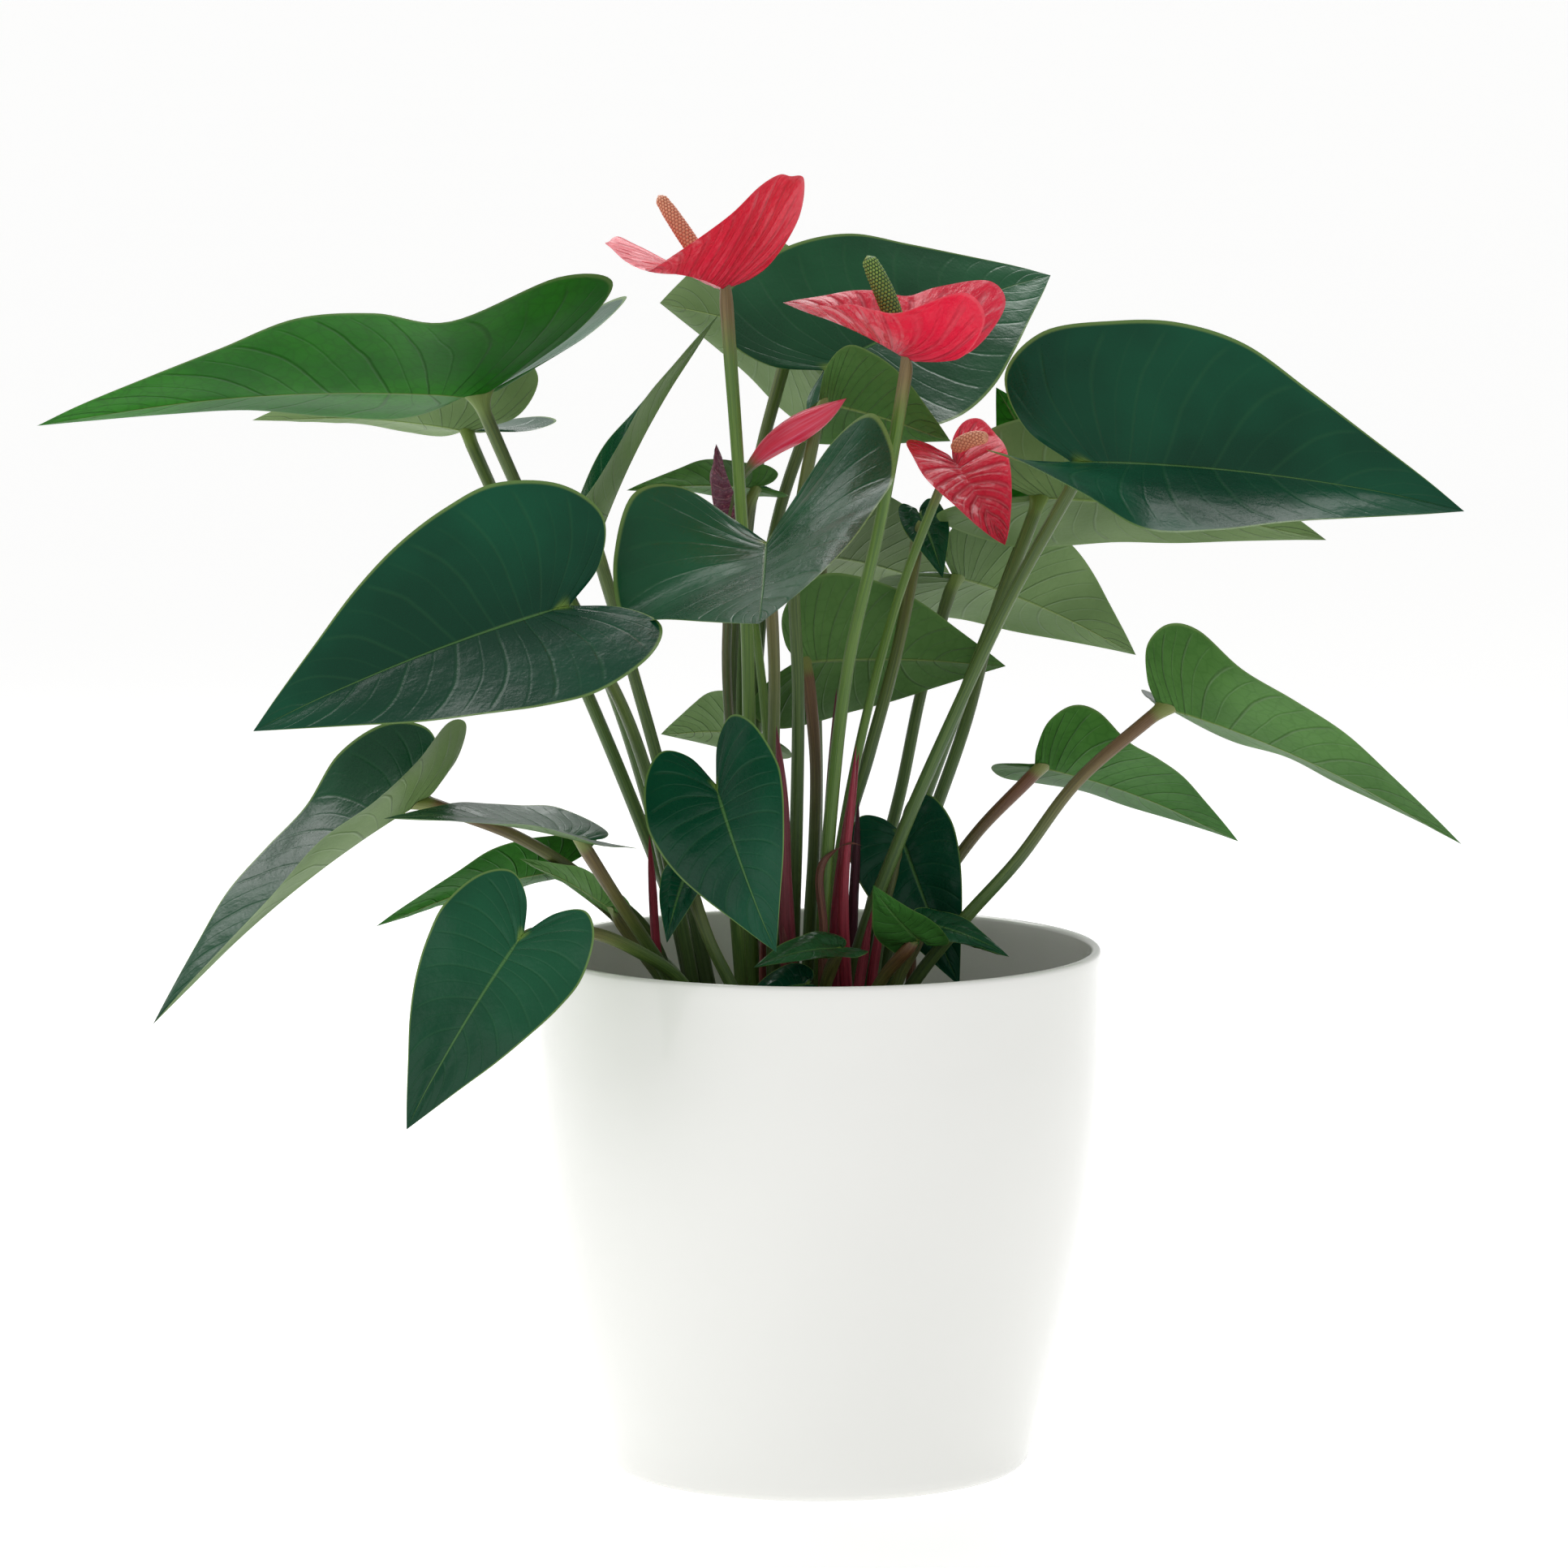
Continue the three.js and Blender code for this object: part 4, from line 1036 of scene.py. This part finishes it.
class ANTHURIUM_OT_stage(bpy.types.Operator):
    """Set the floor, the soft lights and the camera"""
    bl_idname = "anthurium.stage"
    bl_label = "Stage"

    def execute(self, context):
        settings = context.scene.anthurium
        bpy.ops.object.select_all(action="DESELECT")
        bpy.ops.mesh.primitive_plane_add(size=80, location=(0, 0, 0))
        floor = context.object
        floor.name = "studio_floor"
        shade = Shade("studio floor")
        soft = shade.noise(1.5, 2)
        white = tuple(settings.floor_white)
        base = shade.mix(soft, white, tuple(c * 0.985 for c in white))
        floor.data.materials.append(shade.finish({
            "Base Color": base, "Roughness": 0.7, "Specular IOR Level": 0.1,
            "Emission Color": (1, 1, 0.995, 1), "Emission Strength": settings.floor_glow}))
        for name, (place, target, side, power) in LIGHTS.items():
            add_light(name, place, target, side, power)
        world = context.scene.world or bpy.data.worlds.new("studio")
        context.scene.world = world
        world.use_nodes = True
        sky = world.node_tree.nodes["Background"]
        sky.inputs[0].default_value = (1, 1, 1, 1)
        sky.inputs[1].default_value = settings.sky_strength
        view = bpy.data.cameras.new("camera")
        view.sensor_width = 36
        view.lens = CAMERA_LENS
        view.clip_end = 50
        camera = bpy.data.objects.new("camera", view)
        context.collection.objects.link(camera)
        camera.location = CAMERA_PLACE
        camera.rotation_euler = (math.pi / 2 - CAMERA_DIP, 0, 0)
        context.scene.camera = camera
        context.scene.view_settings.view_transform = "Standard"
        return {"FINISHED"}


def add_light(name, place, target, side, power):
    """A square soft light that looks at its target."""
    lamp = bpy.data.lights.new(name, "AREA")
    lamp.shape = "SQUARE"
    lamp.size = side
    lamp.energy = power
    thing = bpy.data.objects.new(name, lamp)
    bpy.context.collection.objects.link(thing)
    thing.location = place
    thing.rotation_euler = (Vector(target) - Vector(place)).to_track_quat("-Z", "Y").to_euler()


class ANTHURIUM_PT_panel(bpy.types.Panel):
    """Lists the pieces of the potted anthurium"""
    bl_idname = "ANTHURIUM_PT_panel"
    bl_label = "Potted Anthurium"
    bl_space_type = "VIEW_3D"
    bl_region_type = "UI"
    bl_category = "Anthurium"

    def draw(self, context):
        settings = context.scene.anthurium
        for key in settings.__annotations__:
            self.layout.prop(settings, key)
        for operator in OPERATORS:
            self.layout.operator(operator.bl_idname)


OPERATORS = (ANTHURIUM_OT_leaves, ANTHURIUM_OT_spathes, ANTHURIUM_OT_spadices, ANTHURIUM_OT_shoots,
             ANTHURIUM_OT_pots, ANTHURIUM_OT_mix, ANTHURIUM_OT_stage)
CLASSES = (AnthuriumSettings, *OPERATORS, ANTHURIUM_PT_panel)


def register():
    for cls in CLASSES:
        bpy.utils.register_class(cls)
    bpy.types.Scene.anthurium = bpy.props.PointerProperty(type=AnthuriumSettings)


def unregister():
    del bpy.types.Scene.anthurium
    for cls in reversed(CLASSES):
        bpy.utils.unregister_class(cls)


def main():
    register()
    bpy.ops.anthurium.leaves()
    bpy.ops.anthurium.spathes()
    bpy.ops.anthurium.spadices()
    bpy.ops.anthurium.shoots()
    bpy.ops.anthurium.pots()
    bpy.ops.anthurium.mix()
    bpy.ops.anthurium.stage()
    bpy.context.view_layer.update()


if __name__ == "__main__":
    main()
